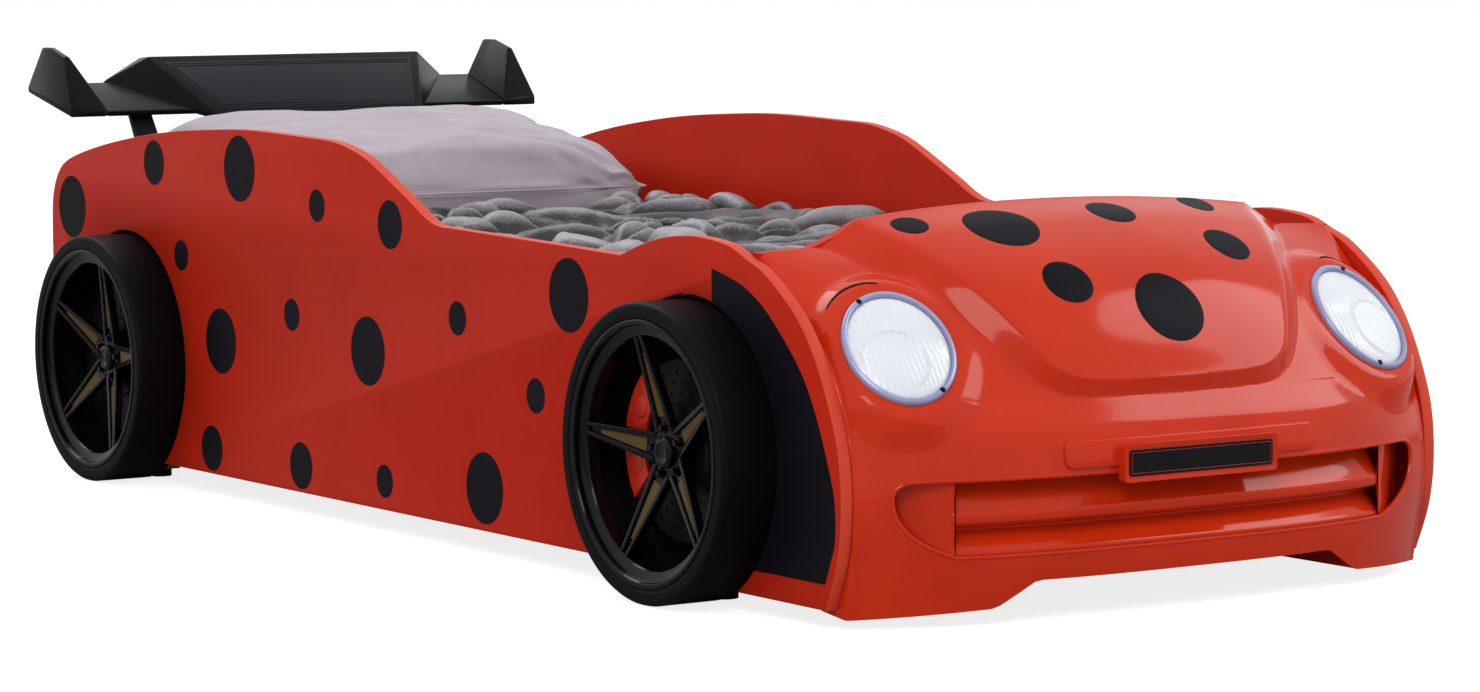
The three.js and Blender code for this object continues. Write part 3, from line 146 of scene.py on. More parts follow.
@dataclass(frozen=True)
class Finish:
    """A real material and how its surface was made.

    The colour drifts to its shade in soft patches, over a relief of the given pitch and height in
    millimetres. On a pile the colour follows height instead, as painted shade and light: it is
    darkest, a painted shade, at the Z of `centre` and lightest, a painted light on the crests,
    `patch` millimetres above that.
    """

    name: str
    colour: str
    shade: str
    grain: Grain
    pitch: float
    relief: float
    roughness: float
    spread: float = 0.05
    patch: float = 160.0
    metallic: float = 0.0
    ior: float = 1.5
    specular: float = 0.5
    coat: float = 0.0
    sheen: float = 0.0
    glow: float = 0.0
    centre: Triple = (0.0, 0.0, 0.0)

    def height(self, tree: bpy.types.NodeTree, coords: bpy.types.Node) -> Output:
        """Add the nodes of the surface's relief.

        Args:
            tree: The material's node tree.
            coords: The node that gives the object's own coordinates.

        Returns:
            The node and the output that hold the height, from 0 to 1.
        """
        scale = 1 / (self.pitch * MM)
        stretch = STRETCH.get(self.grain, (1, 1, 1))
        place = add_node(tree, "ShaderNodeMapping", {
            "Location": tuple(-part * MM for part in self.centre), "Scale": stretch,
        }, {"Vector": (coords, "Object")})
        vector = {"Vector": (place, "Vector")}
        waves = {"Scale": scale / math.tau}
        if self.grain is Grain.TURNED:
            waves.update({"wave_type": "RINGS", "rings_direction": "X", "Distortion": 0.4})
            return add_node(tree, "ShaderNodeTexWave", waves, vector), "Fac"
        if self.grain is Grain.FLUTED:
            waves["bands_direction"] = "X"
            return add_node(tree, "ShaderNodeTexWave", waves, vector), "Fac"
        if self.grain is Grain.WEAVE:
            waves.update({"Distortion": 1.2, "Detail": 1})
            parts = [(add_node(tree, "ShaderNodeTexWave", {**waves, "bands_direction": way},
                               vector), "Fac")
                     for way in ("X", "Y")]
            return add_math(tree, "MULTIPLY", *parts)
        if self.grain is Grain.PILE:
            tufts = add_node(tree, "ShaderNodeTexVoronoi", {"Scale": scale}, vector)
            nap = add_node(tree, "ShaderNodeTexNoise", {"Scale": scale / 3, "Detail": 4}, vector)
            return add_math(tree, "MULTIPLY", (tufts, "Distance"), (nap, "Fac"))
        detail = 1 if self.grain is Grain.PEEL else 5
        return add_node(tree, "ShaderNodeTexNoise", {"Scale": scale, "Detail": detail},
                        vector), "Fac"

    @functools.lru_cache(maxsize=None)
    def build(self) -> bpy.types.Material:
        """Build the material, once for each finish.

        Returns:
            The material.
        """
        material = bpy.data.materials.new(self.name)
        material.use_nodes = True
        tree = material.node_tree
        shader = tree.nodes["Principled BSDF"]
        values = {
            "Metallic": self.metallic, "IOR": self.ior, "Specular IOR Level": self.specular,
            "Coat Weight": self.coat, "Coat Roughness": 0.04, "Sheen Weight": self.sheen,
            "Sheen Roughness": 0.4, "Emission Strength": self.glow,
            "Emission Color": linear(self.colour),
        }
        for socket, value in values.items():
            shader.inputs[socket].default_value = value
        coords = add_node(tree, "ShaderNodeTexCoord")
        patches = add_node(tree, "ShaderNodeTexNoise", {
            "Scale": 1 / (self.patch * MM), "Detail": 4, "Roughness": 0.6,
        }, {"Vector": (coords, "Object")})
        relief = self.height(tree, coords)
        mixed = relief if self.grain is Grain.PLANED else (patches, "Fac")
        # On a pile the colour is painted shade and light that follow height
        if self.grain is Grain.PILE:
            mixed = self.painted_height_shading(tree, coords, relief)
        tone = add_node(tree, "ShaderNodeValToRGB", None, {"Fac": mixed})
        for stop, place, code in zip(tone.color_ramp.elements, TONE_STOPS,
                                     (self.shade, self.colour)):
            stop.position = place
            stop.color = linear(code)
        gloss = add_node(tree, "ShaderNodeMapRange", {
            "To Min": self.roughness - self.spread, "To Max": self.roughness + self.spread,
        }, {"Value": (patches, "Fac")})
        bump = add_node(tree, "ShaderNodeBump", {"Distance": self.relief * MM}, {"Height": relief})
        tree.links.new(tone.outputs["Color"], shader.inputs["Base Color"])
        tree.links.new(gloss.outputs["Result"], shader.inputs["Roughness"])
        tree.links.new(bump.outputs["Normal"], shader.inputs["Normal"])
        return material

    def painted_height_shading(self, tree: bpy.types.NodeTree, coords: bpy.types.Node,
                   relief: Output) -> Output:
        """Add the nodes of a pile's painted shade and light: darker low down, lighter towards its
        crests.

        Args:
            tree: The material's node tree.
            coords: The node that gives the object's own coordinates.
            relief: The node and the output that hold the pile's relief.

        Returns:
            The node and the output that hold the painted shade and light.
        """
        start = self.centre[2] * MM
        level = add_node(tree, "ShaderNodeSeparateXYZ", None, {"Vector": (coords, "Object")})
        # Painted shade low down, painted light towards the crests, set by height alone
        crest = add_node(tree, "ShaderNodeMapRange", {
            "From Min": start, "From Max": (self.centre[2] + self.patch) * MM},
            {"Value": (level, "Z")})
        nap = add_math(tree, "MULTIPLY", relief, NAP_SHARE)
        return add_math(tree, "ADD", (crest, "Result"), nap)


# Lacquered fibreboard: an even satin red, with the faint waviness of a sprayed face
RED_BOARD = Finish("lacquered fibreboard", "#C62A14", "#BC2611", Grain.PEEL, 9, 0.05, 0.46,
                   specular=0.06)
# The same lacquer on the sawn edge, painted lighter and more orange as a painted highlight on the
# edge faces, with a little of the board's grit
RED_EDGE_HIGHLIGHT = Finish("lacquered board edge with painted highlight", "#DC4A30", "#CE402A", Grain.MOULDED, 2.5, 0.08, 0.5,
                  specular=0.2)
# Vacuum-formed gloss ABS: wet highlights that wander a little over the sheet
RED_MOULDING = Finish("vacuum-formed ABS", "#D2330F", "#C62C0B", Grain.PEEL, 60, 0.3, 0.11, 0.03,
                      specular=0.13, coat=0.12)
# Cast vinyl film: flat, slightly blue black with a satin gleam
BLACK_FILM = Finish("cast vinyl film", "#14141B", "#101016", Grain.PEEL, 5, 0.02, 0.4,
                    specular=0.04)
# Blow-moulded tyre ring: matt black with a fine mould texture
TYRE_BLACK = Finish("blow-moulded tyre plastic", "#0C0C0E", "#080809", Grain.MOULDED, 1.6, 0.05,
                    0.5,
                    specular=0.06)
# Piano black ABS on the rim and spokes: near-black with thin bright edges
PIANO_BLACK = Finish("piano black ABS", "#070708", "#050506", Grain.PEEL, 20, 0.03, 0.16, 0.03,
                     specular=0.1,
                     coat=0.12)
# Satin black ABS in the wheel's cup and behind: swallows light
CUP_BLACK = Finish("satin black ABS", "#0E0C0E", "#0A090A", Grain.MOULDED, 1.8, 0.05, 0.6,
                   specular=0.04)
# Bronze paint on the wheel's inserts: a dull warm metal
BRONZE = Finish("bronze paint", "#6A5430", "#5A4727", Grain.MOULDED, 1.2, 0.03, 0.5, metallic=0.2,
                specular=0.1)
# Glossy caliper enamel: bright red that shows between the spokes
CALIPER_RED = Finish("caliper enamel", "#DA3520", "#C92C1A", Grain.MOULDED, 3, 0.06, 0.3,
                     specular=0.3)
# Gloss black wing moulding, with a softer black on its flat centre panel
WING_BLACK = Finish("gloss black wing moulding", "#0E0E12", "#0A0A0D", Grain.PEEL, 60, 0.1, 0.3,
                    0.04,
                    specular=0.08, coat=0.03)
PANEL_BLACK = Finish("satin wing panel", "#24242A", "#1D1D22", Grain.MOULDED, 2, 0.03, 0.45,
                     specular=0.12)
# Powder-coated steel struts
STRUT_BLACK = Finish("powder-coated steel", "#1E1E22", "#17171A", Grain.MOULDED, 1.4, 0.06, 0.5,
                     specular=0.1)
# The lamp's satin ring: a pale violet-blue plated plastic
LAMP_RING = Finish("satin plated plastic", "#A3A6C9", "#8E91B6", Grain.BRUSHED, 3, 0.02, 0.25,
                   metallic=0.25,
                   specular=0.4)
# The lit lens: white with the cool haze of its fluted face
LAMP_LENS = Finish("lit fluted lens", "#E8EAEE", "#CDD3DE", Grain.FLUTED, 3.6, 0.5, 0.12, 0.02,
                   specular=0.4,
                   coat=0.15, glow=0.1)
CHROME = Finish("vacuum-plated bowl", "#D5D6DC", "#C9CAD2", Grain.PEEL, 12, 0.03, 0.12,
                metallic=1.0)
LAMP_WHITE = Finish("lamp base plastic", "#F2F2F0", "#E8E8E6", Grain.MOULDED, 2, 0.03, 0.4)
SCREW_BLACK = Finish("blackened screw steel", "#141416", "#0B0B0D", Grain.BRUSHED, 1.2, 0.03, 0.4,
                     metallic=0.5, specular=0.2)
PLATE_BLACK = Finish("black plate sheet", "#131316", "#0E0E11", Grain.MOULDED, 1.8, 0.03, 0.3,
                     specular=0.12)
# Pine slats and legs: pale wood with long soft grain
PINE = Finish("planed pine", "#DDBF8F", "#C9A470", Grain.PLANED, 9, 0.12, 0.55)
LINER = Finish("black melamine board", "#19191B", "#141416", Grain.MOULDED, 2.2, 0.04, 0.5,
               specular=0.15)
FOOT_RUBBER = Finish("moulded rubber foot", "#161617", "#111112", Grain.MOULDED, 2, 0.06, 0.7,
                     specular=0.1)
# Mattress ticking, with the weave drawn at 3 mm so that it shows
TICKING = Finish("cotton ticking", "#DCD8D0", "#CFCAC0", Grain.WEAVE, 3, 0.25, 0.9, sheen=0.15,
                 specular=0.2)
# Brushed plush: grey pile with painted shade in its low folds and painted light on its crests
PLUSH = Finish("brushed polyester plush", "#8B888E", "#121014", Grain.PILE, 5, 0.7, 0.42, patch=32,
               sheen=0.12,
               specular=0.5, centre=(0, 0, 413))
# Pillow cotton: a pale mauve-grey percale, its weave drawn at 1.6 mm so that it shows
PILLOW_COTTON = Finish("mercerised percale", "#BDB3BD", "#ADA3AE", Grain.WEAVE, 1.6, 0.05, 0.75,
                       patch=110,
                       sheen=0.2, specular=0.15)


def disc_steel(centre: Triple) -> Finish:
    """A turned brake disc: dark steel with rings about its own axle."""
    return Finish(f"turned disc steel {centre[1]:.0f}", "#1D1E21", "#141518", Grain.TURNED, 3, 0.05,
                  0.4,
                  metallic=0.4, specular=0.1, centre=centre)


# Meshes

def to_data(mesh: BMesh, name: str) -> bpy.types.Mesh:
    """Turn a mesh into mesh data with a name. The mesh is freed.

    Args:
        mesh: The mesh to turn. It is freed.
        name: The data's name.

    Returns:
        The mesh data.
    """
    data = bpy.data.meshes.new(name)
    mesh.to_mesh(data)
    mesh.free()
    return data


def add_object(name: str, data: bpy.types.ID) -> bpy.types.Object:
    """Add an object that holds some data to the scene.

    Args:
        name: The object's name.
        data: What it holds.

    Returns:
        The new object.
    """
    holder = bpy.data.objects.new(name, data)
    bpy.context.scene.collection.objects.link(holder)
    return holder


def drop(holders: Iterable[bpy.types.Object]) -> None:
    """Remove objects and the meshes that they hold.

    Args:
        holders: The objects to remove.
    """
    for holder in holders:
        data = holder.data
        bpy.data.objects.remove(holder)
        bpy.data.meshes.remove(data)


@dataclass(frozen=True)
class Label:
    """What a finished piece is called, what it rides on and which solids it stands for."""

    name: str
    finish: Finish
    slot: str
    stands_for: tuple[str, ...] = ()
    body: str = "frame"
    sharp: float = 32.0


def put(mesh: BMesh, label: Label, extra: Sequence[Finish] = ()) -> bpy.types.Object:
    """Finish a mesh drawn in millimetres as a piece of the bed.

    Args:
        mesh: The mesh, in its place. It is freed.
        label: The piece's name, finish, body and replaced solids.
        extra: Further finishes, for faces with a material index past 0.

    Returns:
        The new object.
    """
    bmesh.ops.scale(mesh, vec=(MM, MM, MM), verts=mesh.verts)
    data = to_data(mesh, label.name)
    data.shade_smooth()
    data.set_sharp_from_angle(angle=math.radians(label.sharp))
    for finish in (label.finish, *extra):
        data.materials.append(finish.build())
    piece = add_object(label.name, data)
    declare(piece, label)
    return piece


def declare(piece: bpy.types.Object, label: Label) -> None:
    """Tell the frame what a piece rides on and the solids that it stands for.

    Args:
        piece: The finished piece.
        label: Its label.
    """
    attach(piece, label.body)
    if label.stands_for:
        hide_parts(*label.stands_for)
    LOG.info("%s: %d faces", label.name, len(piece.data.polygons))


def put_pair(draw: Callable[[], BMesh], label: Label, extra: Sequence[Finish] = ()) -> None:
    """Finish a piece drawn for the left side, and its mirror image on the right.

    Args:
        draw: Makes the left piece's mesh.
        label: The label, whose names get the side added.
        extra: Further finishes.
    """
    for side, sign in BOTH_SIDES:
        mesh = draw()
        if sign < 0:
            bmesh.ops.scale(mesh, vec=(-1, 1, 1), verts=mesh.verts)
            bmesh.ops.reverse_faces(mesh, faces=mesh.faces)
        names = tuple(f"{name}_{side}" for name in label.stands_for)
        put(mesh, replace(label, name=f"{label.name}_{side}", stands_for=names), extra)


@functools.lru_cache(maxsize=None)
def box_of(node: str) -> tuple[Vector, Vector]:
    """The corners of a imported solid, in millimetres."""
    low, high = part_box(node)
    return Vector(low) / MM, Vector(high) / MM


def face_up(mesh: BMesh) -> BMesh:
    """Merge a mesh's doubles and point its faces outwards.

    Args:
        mesh: The mesh to change.

    Returns:
        The same mesh.
    """
    bmesh.ops.remove_doubles(mesh, verts=mesh.verts, dist=0.001)
    bmesh.ops.recalc_face_normals(mesh, faces=mesh.faces)
    return mesh


def join(parts: Iterable[BMesh]) -> BMesh:
    """Put several meshes into one. The parts are freed.

    Args:
        parts: The meshes to join. They are freed.

    Returns:
        The whole mesh.
    """
    whole = bmesh.new()
    for part in parts:
        data = to_data(part, "part")
        whole.from_mesh(data)
        bpy.data.meshes.remove(data)
    return whole


def moved(mesh: BMesh, matrix: Matrix) -> BMesh:
    """Move a whole mesh by a matrix."""
    bmesh.ops.transform(mesh, matrix=matrix, verts=mesh.verts)
    return mesh


def ease(mesh: BMesh, edges: Sequence[BMEdge], offset: float, segments: int,
         held: bool = False) -> None:
    """Round some edges of a mesh.

    Args:
        mesh: The mesh to change.
        edges: The edges to round.
        offset: How far the rounding reaches from the edge.
        segments: Facets in the rounding.
        held: Whether a rounding stops where it would run into the next.
    """
    bmesh.ops.bevel(mesh, geom=edges, offset=offset, segments=segments, profile=0.5,
                    affect="EDGES", material=-1, clamp_overlap=held)


def add_peg(mesh: BMesh, place: Matrix, radii: Point, depth: float, segments: int) -> None:
    """Add a capped round piece that lies along the Z of its place.

    Args:
        mesh: The mesh that gets it.
        place: Its middle and its direction.
        radii: Its radii at the two ends.
        depth: Its length.
        segments: How many sides it has.
    """
    bmesh.ops.create_cone(mesh, cap_ends=True, segments=segments, radius1=radii[0],
                          radius2=radii[1], depth=depth, matrix=place)


def block(low: Sequence[float], high: Sequence[float]) -> BMesh:
    """A box between two corners.

    Args:
        low: Its low corner.
        high: Its high corner.

    Returns:
        The closed mesh.
    """
    near, far = Vector(low), Vector(high)
    mesh = bmesh.new()
    bmesh.ops.create_cube(mesh, size=1)
    return moved(mesh, Matrix.Translation((near + far) / 2) @ Matrix.Diagonal((*(far - near), 1)))


def thicken(mesh: BMesh, outward: Sequence[float], thickness: float) -> BMesh:
    """Turn an open sheet to face a way and give it a thickness.

    Args:
        mesh: The open sheet.
        outward: The way that its face looks.
        thickness: How thick it gets.

    Returns:
        The same mesh, closed.
    """
    way = Vector(outward)
    bmesh.ops.recalc_face_normals(mesh, faces=mesh.faces)
    if sum(face.normal.dot(way) for face in mesh.faces) < 0:
        bmesh.ops.reverse_faces(mesh, faces=mesh.faces)
    bmesh.ops.solidify(mesh, geom=mesh.faces[:], thickness=thickness)
    return mesh


def add_loop(mesh: BMesh, ring: Sequence[BMVert]) -> list[BMEdge]:
    """Join a ring of corners by edges."""
    return [mesh.edges.new((a, b)) for a, b in zip(ring, [*ring[1:], ring[0]])]


def axes_at(across: Vector, up: Vector, out: Vector, place: Sequence[float]) -> Matrix:
    """The matrix of a frame with three axes at a place.

    Args:
        across: The first axis.
        up: The second axis.
        out: The third axis.
        place: The origin.

    Returns:
        The matrix.
    """
    matrix = Matrix((across, up, out)).transposed().to_4x4()
    matrix.translation = Vector(place)
    return matrix


def rounded_rectangle(low: Point, high: Point, corner: float, reach: float,
                      steps: int) -> list[Point]:
    """A rectangle's outline with a quarter turn at each corner.

    Args:
        low: Its lower corner.
        high: Its upper corner.
        corner: How far in from each corner its turn's middle lies.
        reach: The turns' radius.
        steps: How many steps each turn takes.

    Returns:
        The outline's points.
    """
    middles = ((high[0] - corner, high[1] - corner), (low[0] + corner, high[1] - corner),
               (low[0] + corner, low[1] + corner), (high[0] - corner, low[1] + corner))
    points = []
    for quarter, (x, y) in enumerate(middles):
        for i in range(steps + 1):
            turn = math.radians(90 * quarter + 90 / steps * i)
            points.append((x + reach * math.cos(turn), y + reach * math.sin(turn)))
    return points


def round_edges(mesh: BMesh, radius: float, segments: int = 2, least: float = 40.0) -> BMesh:
    """Round every edge that turns by more than an angle.

    Args:
        mesh: The mesh to change.
        radius: How far the rounding reaches from the edge.
        segments: Facets in the rounding.
        least: The smallest turn, in degrees, that is rounded.

    Returns:
        The same mesh.
    """
    turn = math.radians(least)
    edges = [edge for edge in mesh.edges if len(edge.link_faces) == 2
             and edge.calc_face_angle() > turn]
    ease(mesh, edges, radius, segments, held=True)
    return mesh


def slab(outline: Sequence[Sequence[float]], push: Sequence[float]) -> BMesh:
    """A flat outline given a thickness.

    Args:
        outline: The corners, in order, in three dimensions.
        push: The vector of the thickness.

    Returns:
        The closed mesh.
    """
    mesh = bmesh.new()
    face = mesh.faces.new([mesh.verts.new(point) for point in outline])
    grown = bmesh.ops.extrude_face_region(mesh, geom=[face])
    bmesh.ops.translate(mesh, vec=push,
                        verts=[item for item in grown["geom"] if isinstance(item, BMVert)])
    return face_up(mesh)


def lathe(profile: Sequence[Point], steps: int) -> BMesh:
    """A closed outline of place along X and radius, spun about the X axis.

    Args:
        profile: Pairs of place along X and radius.
        steps: How many steps the turn takes.

    Returns:
        The closed mesh.
    """
    mesh = bmesh.new()
    ring = [mesh.verts.new((along, 0, radius)) for along, radius in profile]
    bmesh.ops.spin(mesh, geom=ring + add_loop(mesh, ring), cent=(0, 0, 0), axis=(1, 0, 0),
                   angle=math.tau, steps=steps, use_merge=True)
    return face_up(mesh)


def hull(points: Iterable[Sequence[float]]) -> BMesh:
    """The convex solid round some points.

    Args:
        points: The points to wrap.

    Returns:
        The closed mesh.
    """
    mesh = bmesh.new()
    verts = [mesh.verts.new(point) for point in points]
    made = bmesh.ops.convex_hull(mesh, input=verts)
    loose = {item for item in made["geom_unused"] + made["geom_interior"]
             if isinstance(item, BMVert)}
    bmesh.ops.delete(mesh, geom=list(loose), context="VERTS")
    bmesh.ops.dissolve_limit(mesh, angle_limit=math.radians(0.5), verts=mesh.verts,
                             edges=mesh.edges)
    bmesh.ops.recalc_face_normals(mesh, faces=mesh.faces)
    return mesh


def tube(path: Sequence[Sequence[float]], radius: float, closed: bool = True) -> BMesh:
    """A round bead along a path.

    Args:
        path: Its points, in millimetres.
        radius: The bead's radius.
        closed: Whether the path joins up.

    Returns:
        The bead's mesh.
    """
    curve = bpy.data.curves.new("bead", "CURVE")
    curve.dimensions = "3D"
    curve.bevel_depth = radius
    curve.bevel_resolution = 2
    curve.use_fill_caps = True
    line = curve.splines.new("POLY")
    line.points.add(len(path) - 1)
    for point, place in zip(line.points, path):
        point.co = (*place, 1)
    line.use_cyclic_u = closed
    holder = bpy.data.objects.new("bead", curve)
    mesh = bmesh.new()
    data = holder.to_mesh()
    mesh.from_mesh(data)
    holder.to_mesh_clear()
    bpy.data.objects.remove(holder)
    bpy.data.curves.remove(curve)
    return face_up(mesh)


def cut(body: BMesh, tools: Sequence[BMesh]) -> BMesh:
    """Cut some meshes out of a body.

    Args:
        body: The mesh to cut. It is freed.
        tools: The closed meshes to take away. They are freed.

    Returns:
        The cut mesh.
    """
    holders = [add_object(f"cut_{index}", to_data(mesh, f"cut_{index}"))
               for index, mesh in enumerate([body, *tools])]
    for tool in holders[1:]:
        step = holders[0].modifiers.new(tool.name, "BOOLEAN")
        step.operation = "DIFFERENCE"
        step.solver = "EXACT"
        step.object = tool
    bpy.context.view_layer.update()
    result = bmesh.new()
    result.from_object(holders[0], bpy.context.evaluated_depsgraph_get())
    drop(holders)
    return result


@dataclass(frozen=True)
class ClothRun:
    """How a piece of cloth is let move before its mesh is kept.

    Each point moves by `cap` millimetres at most, and `shear` divides the tension.
    """

    frames: int
    shrink: float
    pressure: float = 0.0
    gravity: float = 0.0
    bending: float = 0.6
    tension: float = 12.0
    shear: float = 3.0
    mass: float = 0.25
    quality: int = 5
    cap: float = 1000.0
    floor_z: Optional[float] = None
    floor_gap: float = 0.002


def add_ground(height: float, gap: float) -> bpy.types.Object:
    """Add a level plane, at a height in metres, that cloth lies on.

    Args:
        height: The plane's height, in metres.
        gap: How far cloth stays off it, in metres.

    Returns:
        The plane's object.
    """
    ground = bmesh.new()
    bmesh.ops.create_grid(ground, x_segments=1, y_segments=1, size=2,
                          matrix=Matrix.Translation((0, 0, height)))
    holder = add_object("ground", to_data(ground, "ground"))
    holder.modifiers.new("collision", "COLLISION")
    holder.collision.thickness_outer = gap
    return holder


def settle_cloth(mesh: BMesh, run: ClothRun, hold: Callable[[Vector], float]) -> BMesh:
    """Let a mesh move as cloth for a few frames and keep the result.

    Args:
        mesh: The mesh, in millimetres.
        run: The cloth's settings.
        hold: Gives how firmly a point is held, from 0 to 1.

    Returns:
        The same mesh, moved.
    """
    scene = bpy.context.scene
    data = bpy.data.meshes.new("cloth")
    mesh.to_mesh(data)
    data.transform(Matrix.Scale(MM, 4))
    holder = add_object("cloth", data)
    group = holder.vertex_groups.new(name="held")
    for index, vert in enumerate(mesh.verts):
        group.add([index], hold(vert.co), "REPLACE")
    step = holder.modifiers.new("cloth", "CLOTH")
    cloth = step.settings
    cloth.quality = run.quality
    cloth.mass = run.mass
    cloth.tension_stiffness = cloth.compression_stiffness = run.tension
    cloth.shear_stiffness = run.tension / run.shear
    cloth.bending_stiffness = run.bending
    cloth.shrink_min = run.shrink
    cloth.vertex_group_mass = group.name
    cloth.effector_weights.gravity = run.gravity
    cloth.use_pressure = run.pressure > 0
    cloth.uniform_pressure_force = run.pressure
    step.point_cache.frame_start, step.point_cache.frame_end = 1, run.frames
    helpers = [holder]
    if run.floor_z is None:
        step.collision_settings.use_collision = False
    else:
        helpers.append(add_ground(run.floor_z * MM, run.floor_gap))
        step.collision_settings.distance_min = run.floor_gap
    for number in range(1, run.frames + 1):
        scene.frame_set(number)
    settled = holder.evaluated_get(bpy.context.evaluated_depsgraph_get()).data
    mesh.verts.ensure_lookup_table()
    for index, vert in enumerate(settled.vertices):
        shift = vert.co / MM - mesh.verts[index].co
        mesh.verts[index].co += shift * min(1.0, run.cap / max(shift.length, 1e-6))
    scene.frame_set(1)
    drop(helpers)
    return mesh


# Curves and the front moulding's surface

def clamp(value: float) -> float:
    """Hold a value between 0 and 1."""
    return min(1.0, max(0.0, value))


def smooth(value: float) -> float:
    """Ease a share so that it starts and ends level."""
    held = clamp(value)
    return held * held * (3 - 2 * held)


@dataclass(frozen=True)
class SplineLine:
    """A smooth curve through points, evenly spaced in its parameter."""

    points: tuple[Point, ...]

    def at(self, share: float) -> Vector:
        """The point at a share of the way along.

        Args:
            share: The share of the way, from 0 to 1.

        Returns:
            The point.
        """
        last = len(self.points) - 1
        place = share * last
        index = min(int(place), last - 1)
        weight = place - index
        before, start, end, after = (
            Vector(self.points[min(last, max(0, index + step))]) for step in (-1, 0, 1, 2))
        leave = (end - before) / 2
        arrive = (after - start) / 2
        return ((2 * start - 2 * end + leave + arrive) * weight ** 3
                + (3 * end - 3 * start - 2 * leave - arrive) * weight ** 2 + leave * weight + start)

    def slope(self, share: float) -> Vector:
        """The direction of travel at a share of the way along."""
        low, high = max(0.0, share - 1e-4), min(1.0, share + 1e-4)
        return (self.at(high) - self.at(low)).normalized()

    def sample(self, count: int) -> list[Vector]:
        """Points along the curve, both ends included."""
        return [self.at(i / count) for i in range(count + 1)]


@dataclass(frozen=True)
class Lamps:
    """Where the headlights sit and which way they face."""

    out: float = 374
    y: float = -1132.8
    z: float = 341
    half_width: float = 74
    half_height: float = 85
    turn: float = 12
    tilt: float = 40

    def place(self, side: int) -> Matrix:
        """The lamp's own frame: across, up its face, and out of its face.

        Args:
            side: 1 for the left, -1 for the right.

        Returns:
            The lamp's matrix.
        """
        turn, tilt = math.radians(self.turn) * side, math.radians(self.tilt)
        level = math.cos(tilt)
        facing = Vector((math.sin(turn) * level, -math.cos(turn) * level, math.sin(tilt)))
        across = Vector((math.cos(turn), math.sin(turn), 0))
        return axes_at(across, facing.cross(across), facing, (side * self.out, self.y, self.z))

    def oval(self) -> Matrix:
        """What stretches a round lamp to its height."""
        return Matrix.Diagonal((1, self.half_height / self.half_width, 1, 1))


